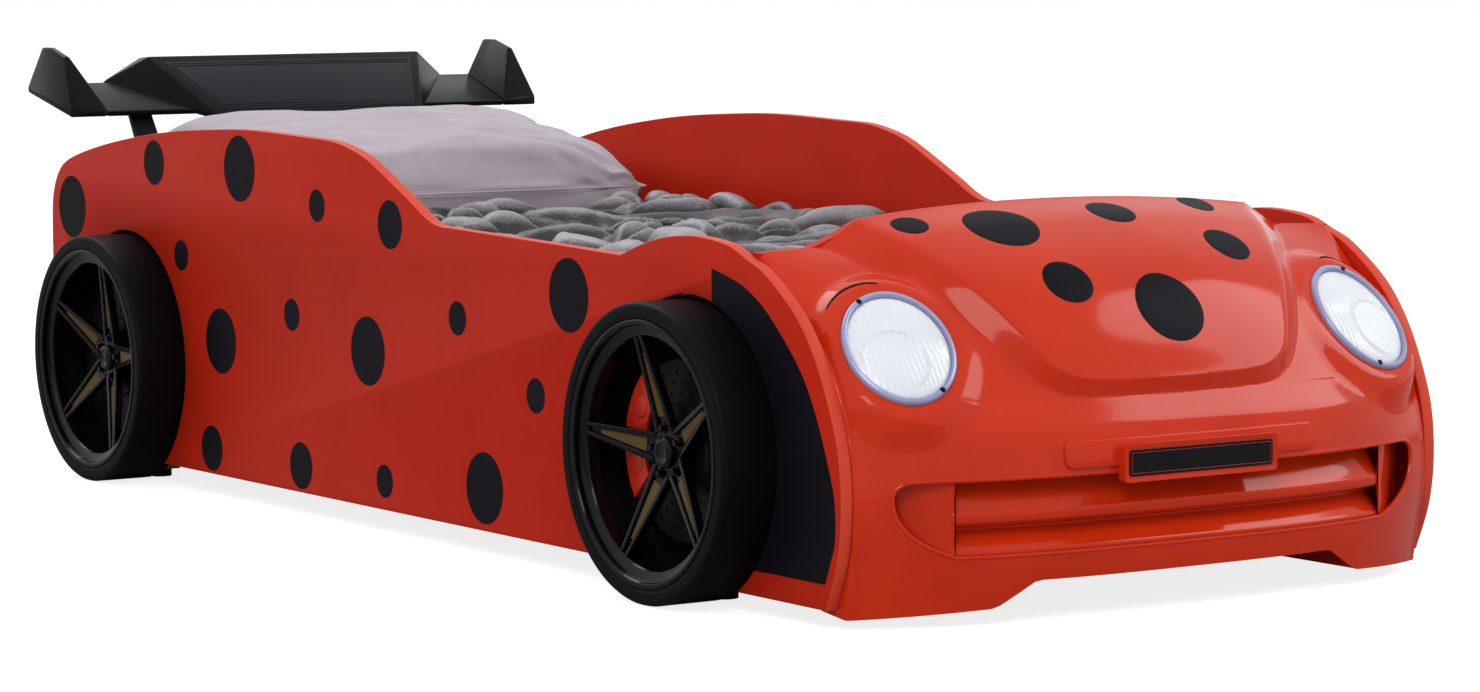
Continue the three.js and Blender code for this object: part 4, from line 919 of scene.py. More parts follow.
@dataclass(frozen=True)
class FrontSurface:
    """The front moulding's outer face, from the bonnet's rear edge (0) to the skirt (1)."""

    rear_y: float
    half: float
    reach: float = 289
    top_z: float = 462
    skirt_z: float = 54
    plan_power: float = 3
    side_shares: tuple[Point, ...] = (
        (0, 0.98), (0.11, 0.907), (0.262, 0.799), (0.414, 0.689), (0.545, 0.556), (0.638, 0.441),
        (0.686, 0.304), (0.693, 0.162), (0.669, 0.076), (0.621, 0))
    middle_shares: tuple[Point, ...] = (
        (0, 1), (0.228, 0.956), (0.49, 0.858), (0.693, 0.713), (0.834, 0.561), (0.952, 0.436),
        (0.99, 0.333), (0.997, 0.186), (0.997, 0.076), (0.986, 0))
    foot_inner: float = 237
    foot_outer: float = 292
    foot_rise_z: float = 22
    foot_end_z: float = 12
    skirt_share: float = 0.889
    bonnet_half: float = 318
    crest_line: tuple[Point, ...] = (
        (318, 0), (294, 0.11), (258, 0.22), (218, 0.33), (202, 0.375), (186, 0.405), (163, 0.426),
        (134, 0.437), (90, 0.4425), (45, 0.4438), (0, 0.444))
    foot_line: tuple[Point, ...] = (
        (372, 0), (345, 0.11), (297, 0.22), (250, 0.33), (224, 0.386), (205, 0.42), (183, 0.445),
        (152, 0.461), (104, 0.4665), (50, 0.4678), (0, 0.468))
    nose_crest: float = 0.44
    nose_foot: float = 0.465
    lift: float = 29.5
    nose_lift: float = 18
    crown: float = 14.5
    crown_fall: float = 0.6
    lift_end_share: float = 0.25
    softness: float = 0.1
    rim_radius: float = 7
    flange: float = 46
    crease_z: float = 240
    crease_reach: float = 42
    crease_height: float = 3.2
    seat_inner: float = 1.12
    seat_outer: float = 1.6
    seat_margin: float = 14
    lamps: Lamps = Lamps()

    @functools.lru_cache(maxsize=None)
    def line(self, middle: bool) -> SplineLine:
        """The profile down the middle, or down the side edge.

        Args:
            middle: Whether it is the profile down the middle.

        Returns:
            The curve, in Y and Z.
        """
        shares = self.middle_shares if middle else self.side_shares
        rise = self.top_z - self.skirt_z
        return SplineLine(tuple((self.rear_y - ahead * self.reach, self.skirt_z + up * rise)
                                for ahead, up in shares))

    @functools.lru_cache(maxsize=None)
    def profile(self, share: float, middle: bool) -> tuple[Vector, Vector]:
        """The profile's point and its direction at a share."""
        line = self.line(middle)
        return line.at(share), line.slope(share)

    @functools.lru_cache(maxsize=None)
    def outline(self, foot: bool) -> list[tuple[float, float, float, float]]:
        """The bonnet's crest or foot as dense points: turn, reach, place across and share.

        Args:
            foot: Whether it is the foot and not the crest.

        Returns:
            The points, in the order of their turns.
        """
        points = [(x / self.bonnet_half, share / self.nose_crest) for x, share in
                  (self.foot_line if foot else self.crest_line)]
        return [(math.atan2(p.y, p.x), p.length, p.x * self.bonnet_half, p.y * self.nose_crest)
                for p in SplineLine(tuple(points)).sample(400)]

    def edge_reach(self, foot: bool, turn: float) -> float:
        """How far out the crest or the foot lies at a turn about the bonnet's rear middle.

        Args:
            foot: Whether it is the foot and not the crest.
            turn: The turn.

        Returns:
            The reach, as a share of the bonnet's.
        """
        dots = self.outline(foot)
        index = bisect.bisect_left(dots, (turn,))
        low, high = dots[max(0, index - 1)], dots[min(index, len(dots) - 1)]
        share = (turn - low[0]) / (high[0] - low[0]) if high[0] > low[0] else 0
        return low[1] + (high[1] - low[1]) * clamp(share)

    @functools.lru_cache(maxsize=None)
    def edge(self, foot: bool, share: float) -> float:
        """Where a row of the grid crosses the crest or the foot, held back past the nose.

        Args:
            foot: Whether it is the foot and not the crest.
            share: The share down the profile.

        Returns:
            The place across.
        """
        held = min(share, self.nose_foot - 0.007 if foot else self.nose_crest - 0.004)
        dots = self.outline(foot)
        return next(dot[2] for dot in dots if dot[3] >= held)

    def skirt_edge(self, x: float) -> float:
        """The height of the skirt's lower edge across the bed.

        Args:
            x: The place across, from the middle.

        Returns:
            The height.
        """
        across = abs(x)
        if across <= self.foot_inner:
            return self.skirt_z
        if across <= self.foot_outer:
            ramp = (across - self.foot_inner) / (self.foot_outer - self.foot_inner)
            return self.skirt_z + (self.foot_rise_z - self.skirt_z) * ramp
        fall = (across - self.foot_outer) / (self.half - self.foot_outer)
        return self.foot_rise_z + (self.foot_end_z - self.foot_rise_z) * fall

    def body_point(self, x: float, share: float) -> Vector:
        """A point of the face without the bonnet's relief.

        Args:
            x: The place across, from the middle.
            share: The share down the profile.

        Returns:
            The point.
        """
        side, middle = self.profile(share, False)[0], self.profile(share, True)[0]
        bulge = 1 - (abs(x) / self.half) ** self.plan_power
        place = side + (middle - side) * bulge
        drop = max(0.0, (share - self.skirt_share) / (1 - self.skirt_share))
        return Vector((x, place.x, place.y + (self.skirt_edge(x) - self.skirt_z) * drop))

    def bonnet_height(self, x: float, share: float) -> float:
        """How far the bonnet stands out, with a soft shoulder and foot.

        Args:
            x: The place across, from the middle.
            share: The share down the profile.

        Returns:
            The height over the body's face.
        """
        across, along = abs(x) / self.bonnet_half, share / self.nose_crest
        turn, out = math.atan2(along, across), math.hypot(across, along)
        crest, foot = self.edge_reach(False, turn), self.edge_reach(True, turn)
        rise = clamp((foot - out) / (foot - crest))
        eased = rise + self.softness * (smooth(rise) - rise)
        lift = self.lift + (self.nose_lift - self.lift) * clamp(along)
        middle = max(0.0, 1 - (out / crest) ** 2)
        return lift * eased + self.crown * middle * clamp(1 - self.crown_fall * along)

    def point(self, x: float, share: float) -> Vector:
        """A point of the finished face.

        Args:
            x: The place across, from the middle.
            share: The share down the profile.

        Returns:
            The point.
        """
        tangent = self.profile(share, True)[1]
        outward = Vector((0, tangent.y, -tangent.x))
        outward = outward.lerp(Vector((0, 0, 1)),
                               clamp(1 - share / self.lift_end_share)).normalized()
        point = self.body_point(x, share) + outward * self.bonnet_height(x, share)
        away = abs(point.z - self.crease_z) / self.crease_reach
        if share > self.nose_foot and away < 1:
            point += outward * self.crease_height * (1 - away) ** 1.5 * (1 - (x / self.half) ** 4)
        place = self.lamps.place(1 if x >= 0 else -1)
        local = place.inverted() @ point
        away = math.hypot(local.x / self.lamps.half_width, local.y / self.lamps.half_height)
        blend = smooth((self.seat_outer - away) / (self.seat_outer - self.seat_inner))
        rim = clamp((self.half - abs(x)) / self.seat_margin)
        return point - place.col[2].xyz * local.z * rim * blend

    def normal(self, x: float, share: float) -> Vector:
        """The face's outward direction.

        Args:
            x: The place across, from the middle.
            share: The share down the profile.

        Returns:
            The direction, with a length of 1.
        """
        step_x, step = self.half / 400, 1 / 400
        left, right = max(-self.half, x - step_x), min(self.half, x + step_x)
        low, high = max(0.0, share - step), min(1.0, share + step)
        across = self.point(right, share) - self.point(left, share)
        down = self.point(x, high) - self.point(x, low)
        return down.cross(across).normalized()

    def share_at(self, x: float, z: float) -> float:
        """The share at which the bumper's face has a given height.

        Args:
            x: The place across, from the middle.
            z: The height to find.

        Returns:
            The share.
        """
        low, high = self.nose_foot, 1.0
        for _ in range(18):
            middle = (low + high) / 2
            if self.point(x, middle).z > z:
                low = middle
            else:
                high = middle
        return low

    def face_y(self, x: float, z: float) -> float:
        """The Y of the bumper's face at a place seen from the front."""
        return self.point(x, self.share_at(x, z)).y

    def share_behind(self, x: float, y: float, last: float) -> float:
        """The share, up to a last one, at which the face passes a Y.

        Args:
            x: The place across, from the middle.
            y: The Y to find.
            last: The last share to try.

        Returns:
            The share.
        """
        low, share, high = 0.0, 0.0, last
        for _ in range(20):
            share = (low + high) / 2
            low, high = (share, high) if self.point(x, share).y > y else (low, share)
        return share


# Sub-assemblies

@dataclass
class SidePanels:
    """The two boards cut to a car's outline, with their vinyl spots and front film."""

    rear_y: float = 1090.5
    length: float = 2254
    bottom_z: float = 34
    rise: float = 532
    arch_radius: float = 200
    axle_z: float = 194.5
    axles: tuple[float, float] = (-826.6, 813.1)
    arch_steps: int = 64
    edge_round: float = 1.6
    film: float = 0.45
    spot_ease: float = 0.2
    roof: tuple[Point, ...] = (
        (0, 0.62), (0.001, 0.731), (0.005, 0.789), (0.012, 0.832), (0.022, 0.862), (0.039, 0.886),
        (0.073, 0.916), (0.121, 0.947), (0.186, 0.977), (0.25, 0.993), (0.313, 1), (0.393, 0.991),
        (0.425, 0.986), (0.447, 0.973), (0.4685, 0.951), (0.4885, 0.918), (0.528, 0.843),
        (0.549, 0.801), (0.565, 0.783), (0.588, 0.779), (0.7, 0.766), (0.777, 0.7556))
    nose: tuple[Point, ...] = (
        (0.777, 0.7556), (0.799, 0.785), (0.821, 0.8067), (0.842, 0.817), (0.863, 0.818),
        (0.89, 0.8055), (0.908, 0.778), (0.928, 0.7434), (0.957, 0.657), (0.976, 0.56),
        (0.99, 0.4436), (0.998, 0.3365), (1, 0.2145), (0.996, 0.0975), (0.985, -0.0185))
    fender: tuple[Point, ...] = (
        (0.8745, 0.7461), (0.89, 0.7313), (0.908, 0.7082), (0.928, 0.662), (0.952, 0.5747),
        (0.967, 0.5019), (0.978, 0.4208), (0.987, 0.3325), (0.994, 0.2432), (0.9947, 0.1519),
        (0.991, 0.1037), (0.985, 0.0431))
    spots: tuple[Triple, ...] = (
        (0.298, 0.889, 100), (0.169, 0.886, 70), (0.035, 0.731, 100), (0.407, 0.805, 48),
        (0.504, 0.773, 70), (0.209, 0.623, 48), (0.72, 0.641, 100), (0.37, 0.494, 48),
        (0.588, 0.546, 48), (0.267, 0.39, 100), (0.473, 0.425, 100), (0.681, 0.375, 48),
        (0.251, 0.075, 70), (0.38, 0.076, 70), (0.619, 0.113, 100), (0.493, 0.079, 48))

    def place(self, share: Point) -> Point:
        """A point of the board's face from its shares along and up."""
        return self.rear_y - share[0] * self.length, self.bottom_z + share[1] * self.rise

    def arch(self, axle_y: float, near_z: float, radius: float,
             far_turn: Optional[float] = None) -> list[Point]:
        """The points of a wheel arch, from its front foot over the top.

        Args:
            axle_y: The axle's Y.
            near_z: The height at which the arch starts.
            radius: The arch's radius.
            far_turn: Where it ends, as a turn about the axle; at the board's foot without it.

        Returns:
            The points, in Y and Z.
        """
        start = math.pi + math.asin((self.axle_z - near_z) / radius)
        end = -math.asin((self.axle_z - self.bottom_z) / radius) if far_turn is None else far_turn
        turns = [start + (end - start) * i / self.arch_steps for i in range(self.arch_steps + 1)]
        return [(axle_y + radius * math.cos(turn), self.axle_z + radius * math.sin(turn))
                for turn in turns]

    def outline(self) -> list[Point]:
        """The board's outline, starting at the lower rear corner.

        Returns:
            The outline's points.
        """
        roof = SplineLine(tuple(map(self.place, self.roof))).sample(110)
        nose = SplineLine(tuple(map(self.place, self.nose))).sample(90)
        front = self.arch(self.axles[0], nose[-1].y, self.arch_radius)
        rear = self.arch(self.axles[1], self.bottom_z, self.arch_radius)
        upper = [(point.x, point.y) for point in roof + nose[1:]]
        return [(self.rear_y, self.bottom_z), *upper, *front, *rear]

    def board(self) -> BMesh:
        """The left board, with its edges eased and its edge faces marked for their own lighter red,
        a painted highlight.

        Returns:
            The mesh.
        """
        low, high = box_of("side_panel_left")
        mesh = slab([(low.x, y, z) for y, z in self.outline()], (high.x - low.x, 0, 0))
        rims = [edge for edge in mesh.edges if edge.calc_face_angle() > math.radians(60)
                and abs(edge.verts[0].co.x - edge.verts[1].co.x) < 1]
        ease(mesh, rims, self.edge_round, 2, held=True)
        # Edge faces get the lighter red of the painted highlight
        for face in mesh.faces:
            face.material_index = int(abs(face.normal.x) < 0.5)
        return mesh

    def spot_discs(self) -> BMesh:
        """The left board's spots, as discs of film.

        Returns:
            The mesh.
        """
        outer = box_of("side_panel_left")[1].x
        mesh = bmesh.new()
        for along, up, size in self.spots:
            y, z = self.place((along, up))
            middle = Matrix.Translation((outer + self.film / 2, y, z))
            add_peg(mesh, middle @ ALONG_X, (size / 2, size / 2 - self.spot_ease), self.film, 64)
        return mesh

    def fender_film(self) -> BMesh:
        """The black film ahead of the front wheel, between the arch and the board's nose.

        Returns:
            The mesh.
        """
        outer = box_of("side_panel_left")[1].x
        line = SplineLine(tuple(map(self.place, self.fender))).sample(60)
        radius = self.arch_radius + 0.5
        back = line[0].x - self.axles[0]
        arch = self.arch(self.axles[0], line[-1].y, radius, math.acos(back / radius))
        points = [*((point.x, point.y) for point in line), *arch]
        return slab([(outer + 0.05, y, z) for y, z in points], (self.film, 0, 0))

    def build(self) -> None:
        """Make both boards with their films."""
        put_pair(self.board, Label("panel_board", RED_BOARD, "red_board", ("side_panel",),
                                   sharp=50), (RED_EDGE_HIGHLIGHT,))
        put_pair(self.spot_discs, Label("panel_spots", BLACK_FILM, "black_film"))
        put_pair(self.fender_film,
                 Label("fender_cover", BLACK_FILM, "black_film", ("fender_film",)))


@dataclass
class Wheels:
    """The four wheels: tyre, rim with twin-rib spokes, cup, brake disc and caliper."""

    axles: tuple[tuple[str, float, float, float], ...] = (
        ("front", -826.6, 9, 79.6), ("rear", 813.1, 180, 102.6))
    axle_z: float = 194.5
    tyre_radius: float = 194
    rim_radius: float = 172
    depth: float = 93.1
    lip: float = 8
    band: float = 14
    hub_radius: float = 36
    hub_drop: float = 38
    rim_drop: float = 9
    spoke_depth: float = 13
    spokes: int = 5
    root: float = 30.6
    root_half: float = 20
    tip_half: float = 8
    rib: float = 8.5
    rib_tip: float = 6.5
    wedge_start: float = 46
    wedge_end: float = 129
    wedge_drop: float = 3.6
    wedge_thickness: float = 2
    wedge_gaps: Point = (0.6, 1.6)
    disc_radius: float = 118
    disc_front: float = 63.3
    disc_thickness: float = 7
    bore: float = 30.4
    hole_rings: tuple[float, ...] = (74, 88, 102)
    holes: int = 20
    hole_radius: float = 2.6
    cap: tuple[Point, ...] = ((-2, 21), (3, 20), (5.4, 17.5), (6, 14), (5.2, 12.6), (5.6, 1))
    bolt: tuple[tuple[float, Point, float, int], ...] = (
        (1, (5.2, 4.4), 7, 6), (-1.4, (7.4, 7), 2, 20))
    bolt_ring: float = 31
    caliper_span: float = 1.5
    caliper_radii: Point = (78, 125)
    caliper_taper: float = 0.86
    cheek_gap: float = 7.3
    pad_ring: float = 100
    pad_radii: Point = (17, 14)
    arch_radius: float = 199.6
    arch_low: float = 160
    steps: int = 128

    def dish(self, radius: float) -> float:
        """How far the spokes' front lies behind the wheel's outer plane."""
        share = clamp((radius - self.hub_radius) / (self.rim_radius - self.hub_radius))
        return self.hub_drop + (self.rim_drop - self.hub_drop) * share

    def settle(self, mesh: BMesh) -> BMesh:
        """Move flat pieces of the face onto its dish.

        Args:
            mesh: The flat pieces.

        Returns:
            The same mesh.
        """
        for vert in mesh.verts:
            vert.co.x -= self.dish(math.hypot(vert.co.y, vert.co.z))
        return mesh

    def around(self, mesh: BMesh) -> BMesh:
        """Repeat a piece of the topmost spoke for every spoke.

        Args:
            mesh: The topmost spoke's piece.

        Returns:
            The same mesh, with the copies.
        """
        more = self.spokes - 1
        bmesh.ops.spin(mesh, geom=mesh.verts[:] + mesh.edges[:] + mesh.faces[:], cent=(0, 0, 0),
                       axis=(1, 0, 0), angle=math.tau * more / self.spokes, steps=more,
                       use_duplicate=True)
        return mesh

    def half_at(self, radius: float) -> float:
        """Half the width of a spoke at a radius."""
        share = (radius - self.root) / (self.rim_radius - self.lip - self.root)
        return self.root_half + (self.tip_half - self.root_half) * share

    def tyre(self) -> BMesh:
        """A plain low-profile tyre with rounded shoulders and a raised bead on its side.

        Returns:
            The mesh.
        """
        out, rim, back = self.tyre_radius, self.rim_radius, -self.depth
        mesh = lathe([
            (back, rim), (back, self.arch_radius), (back + 1.5, self.arch_radius),
            (back + 1.8, out - 1.8), (back + 6, out), (-7, out), (-3.4, out - 0.9),
            (-1.2, out - 2.6), (-0.2, out - 5.2), (0, out - 8), (0, rim + 5), (-0.9, rim + 3.6),
            (-0.9, rim + 1.6), (-2.2, rim + 0.1),
        ], self.steps)
        for vert in mesh.verts:
            radius = math.hypot(vert.co.y, vert.co.z)
            if radius > out and vert.co.z < -self.arch_low:
                vert.co.yz = vert.co.yz * (out - 0.2) / radius
        return mesh

    def rim(self) -> BMesh:
        """The rim's gloss lip, its step and its barrel.

        Returns:
            The mesh.
        """
        out = self.rim_radius - 0.5
        lip, band = out - self.lip, out - self.lip - self.band
        return lathe([
            (-self.depth / 3, out), (-1.2, out), (-0.2, out - 1.2), (0, out - 2.6),
            (-0.8, lip + 1.6), (-2.6, lip + 0.3), (-self.rim_drop - 1, lip),
            (-self.rim_drop - 2, lip - 1.4), (-self.rim_drop - 4, band + 1.5),
            (-self.rim_drop - 6, band), (-self.depth / 3, band),
        ], self.steps)

    def ribs(self) -> BMesh:
        """Two tapered ribs and the web between them, for each spoke.

        Returns:
            The mesh.
        """
        tip = self.rim_radius - self.lip - 1
        parts = []
        for side in (-1, 1):
            outer_root, outer_tip = side * self.root_half, side * self.tip_half
            rib = slab([
                (0, outer_root, self.root - 4), (0, outer_tip, tip),
                (0, outer_tip - side * self.rib_tip, tip),
                (0, outer_root - side * self.rib, self.root - 4),
            ], (-self.spoke_depth, 0, 0))
            bmesh.ops.subdivide_edges(rib, edges=[e for e in rib.edges if e.calc_length() > 80],
                                      cuts=3)
            parts.append(round_edges(rib, 1.8, 3))
        web = slab([
            (-5, -self.root_half + 2, self.root - 2), (-5, -self.tip_half + 1, tip),
            (-5, self.tip_half - 1, tip), (-5, self.root_half - 2, self.root - 2),
        ], (5 - self.spoke_depth, 0, 0))
        mesh = join([*parts, web])
        return self.settle(self.around(mesh))

    def inserts(self) -> BMesh:
        """The bronze wedges between the ribs.

        Returns:
            The mesh.
        """
        low, high = self.wedge_start, self.wedge_end
        low_half = self.half_at(low) - self.rib - self.wedge_gaps[0]
        high_half = self.half_at(high) - self.rib_tip - self.wedge_gaps[1]
        corners = ((-low_half, low), (-high_half, high), (high_half, high), (low_half, low))
        mesh = slab([(-self.wedge_drop, y, z) for y, z in corners], (-self.wedge_thickness, 0, 0))
        return self.settle(self.around(round_edges(mesh, 0.5, 1)))

    def hub(self) -> BMesh:
        """The hub disc with its domed plain cap and a ring of lug bolts.

        Returns:
            The mesh.
        """
        face = -self.hub_drop
        back = face - self.spoke_depth
        disc = lathe([
            (back, 1), (back, self.hub_radius - 2), (face - 4, self.hub_radius),
            (face - 2, self.hub_radius - 3), *((face + out, radius) for out, radius in self.cap),
        ], 64)
        bolts = bmesh.new()
        for out, radii, depth, sides in self.bolt:
            add_peg(bolts, Matrix.Translation((face + out, 0, self.bolt_ring)) @ ALONG_X, radii,
                    depth, sides)
        return join([disc, self.around(bolts)])

    def cup(self) -> BMesh:
        """The cup behind the spokes, with the post that carries them.

        Returns:
            The mesh.
        """
        back, out = -self.depth, self.rim_radius - 0.5
        front = -self.depth / 3 - 0.3
        post = -(self.hub_drop + self.spoke_depth + 0.3)
        return lathe([
            (back, 1), (back, out), (front, out), (front, out - 4), (back + 14, out - 6),
            (back + 5, out - 14), (back + 4, 60), (back + 4, 30), (post, 30), (post, 1),
        ], 96)

    def disc(self) -> BMesh:
        """The brake disc, with its bell and a ring of cooling holes.

        Returns:
            The mesh.
        """
        front, out = -self.disc_front, self.disc_radius
        back = front - self.disc_thickness
        disc = lathe([
            (back, self.bore), (back, out - 1), (back + 1, out), (front - 1, out), (front, out - 1),
            (front, 62), (front + 3, 59), (front + 3, self.bore),
        ], 96)
        holes = bmesh.new()
        for ring, radius in enumerate(self.hole_rings):
            for i in range(self.holes):
                turn = math.tau * (i + ring / 3) / self.holes
                middle = (front - 3, radius * math.cos(turn), radius * math.sin(turn))
                add_peg(holes, Matrix.Translation(middle) @ ALONG_X,
                        (self.hole_radius, self.hole_radius), 20, 10)
        return cut(disc, [holes])

    def caliper(self, degrees: float) -> BMesh:
        """A caliper that grips the disc's rim, with two cheeks, a bridge and raised pads.

        Args:
            degrees: The turn of its middle about the axle, from the rear.

        Returns:
            The mesh.
        """
        turn, half = math.radians(degrees), self.caliper_span / 2
        front = -self.disc_front + self.cheek_gap
        back = -self.disc_front - self.disc_thickness - self.cheek_gap

        def arc(low: float, high: float, low_half: float, high_half: float) -> list[Point]:
            """The outline of a stretch of ring, with its ends drawn in.

            Args:
                low: The inner radius.
                high: The outer radius.
                low_half: Half the inner angle.
                high_half: Half the outer angle.

            Returns:
                The outline, in Y and Z.
            """
            steps = [i / 14 * 2 - 1 for i in range(15)]
            outer = [(high * math.cos(turn + high_half * s), high * math.sin(turn + high_half * s))
                     for s in steps]
            inner = [(low * math.cos(turn - low_half * s), low * math.sin(turn - low_half * s))
                     for s in steps]
            return outer + inner

        outline = arc(*self.caliper_radii, half * self.caliper_taper, half)
        body = slab([(front, y, z) for y, z in outline], (back - front, 0, 0))
        groove = arc(1, self.disc_radius + 0.3, 1.2, 1.2)
        slot = slab([(-self.disc_front + 0.3, y, z) for y, z in groove],
                    (-self.disc_thickness - 0.6, 0, 0))
        parts = [round_edges(cut(body, [slot]), 1.6, 2, 60)]
        for side in (-1, 1):
            middle = turn + side * half * 0.5
            place = Matrix.Translation((
                front + 0.4, self.pad_ring * math.cos(middle), self.pad_ring * math.sin(middle)))
            pad = bmesh.new()
            add_peg(pad, place @ ALONG_X, self.pad_radii, 3, 32)
            parts.append(round_edges(pad, 1, 2))
        return join(parts)

    def face(self) -> BMesh:
        """The rim, the spokes and the hub as one moulding."""
        return join([self.rim(), self.ribs(), self.hub()])

    def build(self) -> None:
        """Make the four wheels."""
        outer = box_of("tyre_front_left")[1].x
        for name, axle_y, degrees, spoke_turn in self.axles:
            middle = (0, axle_y, self.axle_z)
            centre = Matrix.Translation((outer, axle_y, self.axle_z))
            turned = centre @ Matrix.Rotation(math.radians(spoke_turn - 90), 4, "X")
            caliper = functools.partial(self.caliper, degrees)
            for piece, draw, at, finish, slot, solid in (
                    ("tyre", self.tyre, centre, TYRE_BLACK, "tyre_black", "tyre"),
                    ("spoked_rim", self.face, turned, PIANO_BLACK, "wheel_black", "wheel_face"),
                    ("rim_inserts", self.inserts, turned, BRONZE, "", ""),
                    ("wheel_cup", self.cup, centre, CUP_BLACK, "wheel_cup", "wheel_drum"),
                    ("brake_disc", self.disc, centre, disc_steel(middle), "", ""),
                    ("brake_caliper", caliper, centre, CALIPER_RED, "caliper_red", "caliper")):
                solids = (f"{solid}_{name}",) if solid else ()
                put_pair(lambda draw=draw, at=at: moved(draw(), at),
                         Label(f"{name}_{piece}", finish, slot, solids))


@dataclass
class FrontEnd:
    """The red front moulding with its spots, grille, number plate and headlights."""

    surface: FrontSurface
    skin: float = 4
    film: float = 0.4
    film_rim: float = 0.05
    probe: float = 0.002
    cutter: float = 110
    plan_share: float = 0.74
    row_bands: tuple[tuple[float, int], ...] = ((0.4, 60), (0.5, 34), (1.0, 56))
    return_z: Triple = (23, 62, 80)
    return_y: float = -1052
    rim_steps: int = 5
    crest_columns: int = 22
    wall_columns: int = 9
    wing_columns: int = 26
    grille_top_z: float = 183
    grille_bottom_z: float = 87
    grille_top_half: float = 390
    grille_bulge_half: float = 421
    grille_bulge_z: float = 160
    grille_bottom_half: float = 343
    grille_depth: float = 34
    grille_sag: float = 12
    bar: tuple[Point, ...] = (
        (14, 145), (11.5, 142.5), (10, 140.5), (9.5, 138), (9.5, 131), (10.5, 128.5), (12.5, 127))
    sill: tuple[Point, ...] = ((13, 95), (10.5, 92.5), (10, 90))
    divider_x: float = 346
    plate_half: float = 117
    plate_low_z: float = 175
    plate_high_z: float = 211
    plate_rim: float = 6
    plate_sink: float = 2.2
    plate_gap: float = 1.5
    plate_corner: float = 4
    plate_line_inset: float = 5
    plate_line_radius: float = 0.35
    pad_half: float = 200
    pad_low_z: float = 190
    pad_high_z: float = 224
    pad_out: float = 5
    pad_corner: float = 9
    pad_ease: float = 2.2
    brow_steps: int = 30
    brow_start: float = 88
    brow_sweep: float = 50
    brow_reach: float = 1.19
    brow_rise: float = 0.16
    brow_bend: float = 0.62
    brow_half: float = 0.034
    brow_tip: float = 0.004
    ring_section: tuple[Point, ...] = (
        (0, -20), (0, 3.2), (0.8, 5), (2.4, 6.4), (4.4, 6.9), (5.6, 6.4), (6.6, 4.6), (7, 2),
        (7, -20))
    lens_inset: float = 7.3
    lens_crown: float = 11
    bowl_place: Point = (12, 22)
    bowl_radius: float = 42
    ridge_width: float = 2.2
    ridge_height: float = 2.4
    flute_height: float = 0.35
    flute_pitch: float = 7
    screw_turns: tuple[Point, Point] = ((70, 250), (121, 303))
    screw_inset: Point = (4.2, 4.6)
    screw_out: float = 7.2
    screw_radii: Point = (4, 2.6)
    screw_slot: Point = (5, 0.9)
    spots: tuple[Triple, ...] = (
        (-259.2, -996.2, 50), (-140.5, -1032, 102), (49.9, -1015.4, 68), (-115.5, -1140, 70),
        (22.4, -1172.1, 102), (185.4, -1088.7, 68), (219.6, -980.3, 52))

    def rows(self) -> list[float]:
        """Shares down the profile, closer together round the bonnet's nose.

        Returns:
            The shares.
        """
        shares, start = [], 0.0
        for end, count in self.row_bands:
            shares += [start + i / count * (end - start) for i in range(count)]
            start = end
        return shares + [start]

    def columns(self, share: float) -> list[float]:
        """Places across the moulding that follow the bonnet's crest and foot.

        Args:
            share: The share down the profile.

        Returns:
            The places, from -X to +X.
        """
        crest, foot = self.surface.edge(False, share), self.surface.edge(True, share)
        half = [crest * i / self.crest_columns for i in range(self.crest_columns)]
        half += [crest + (foot - crest) * i / self.wall_columns for i in range(self.wall_columns)]
        wing = self.surface.half - self.surface.rim_radius - foot
        half += [foot + wing * i / self.wing_columns for i in range(self.wing_columns + 1)]
        return [-x for x in reversed(half[1:])] + half

    def place(self, columns: Sequence[float], column: int, share: float) -> Vector:
        """A point of the grid: on the face, round the rolled side edge or on the side flange.

        Args:
            columns: The row's places across.
            column: The column, which lies outside the row on the rolled edge.
            share: The share down the profile.

        Returns:
            The point.
        """
        past = max(-column, column - (len(columns) - 1), 0)
        x = columns[min(max(column, 0), len(columns) - 1)]
        face = self.surface.point(x, share)
        if past == 0:
            return face
        normal = self.surface.normal(x, share)
        inward = Vector((0, -normal.y, -normal.z)).normalized()
        turn = math.pi / 2 * min(past, self.rim_steps) / self.rim_steps
        radius = self.surface.rim_radius
        out = Vector((math.copysign(radius * math.sin(turn), x), 0, 0))
        run = self.surface.flange if past > self.rim_steps else 0
        return face + out + inward * (radius * (1 - math.cos(turn)) + run)

    def grille_outline(self) -> list[Point]:
        """The bumper opening's outline in X and Z.

        Returns:
            The outline's points.
        """
        def curve(start: Point, pull: Point, end: Point) -> list[Point]:
            """Points of a curve that leans towards a pull point.

            Args:
                start: The first point, which is left out.
                pull: The pull point.
                end: The last point.

            Returns:
                The points.
            """
            a, b, c = Vector(start), Vector(pull), Vector(end)
            steps = [i / 12 for i in range(1, 13)]
            return [tuple(a * (1 - t) ** 2 + b * 2 * t * (1 - t) + c * t * t) for t in steps]

        foot = (self.grille_bottom_half, self.grille_bottom_z)
        bulge = (self.grille_bulge_half, self.grille_bulge_z)
        low_pull = (self.grille_bulge_half,
                    (self.grille_bulge_z + self.grille_bottom_z) / 2 - self.grille_sag)
        high_pull = (self.grille_bulge_half, self.grille_top_z)
        right = [foot, *curve(foot, low_pull, bulge)]
        right += curve(right[-1], high_pull, (self.grille_top_half, self.grille_top_z))
        return right + [(-x, z) for x, z in reversed(right)]

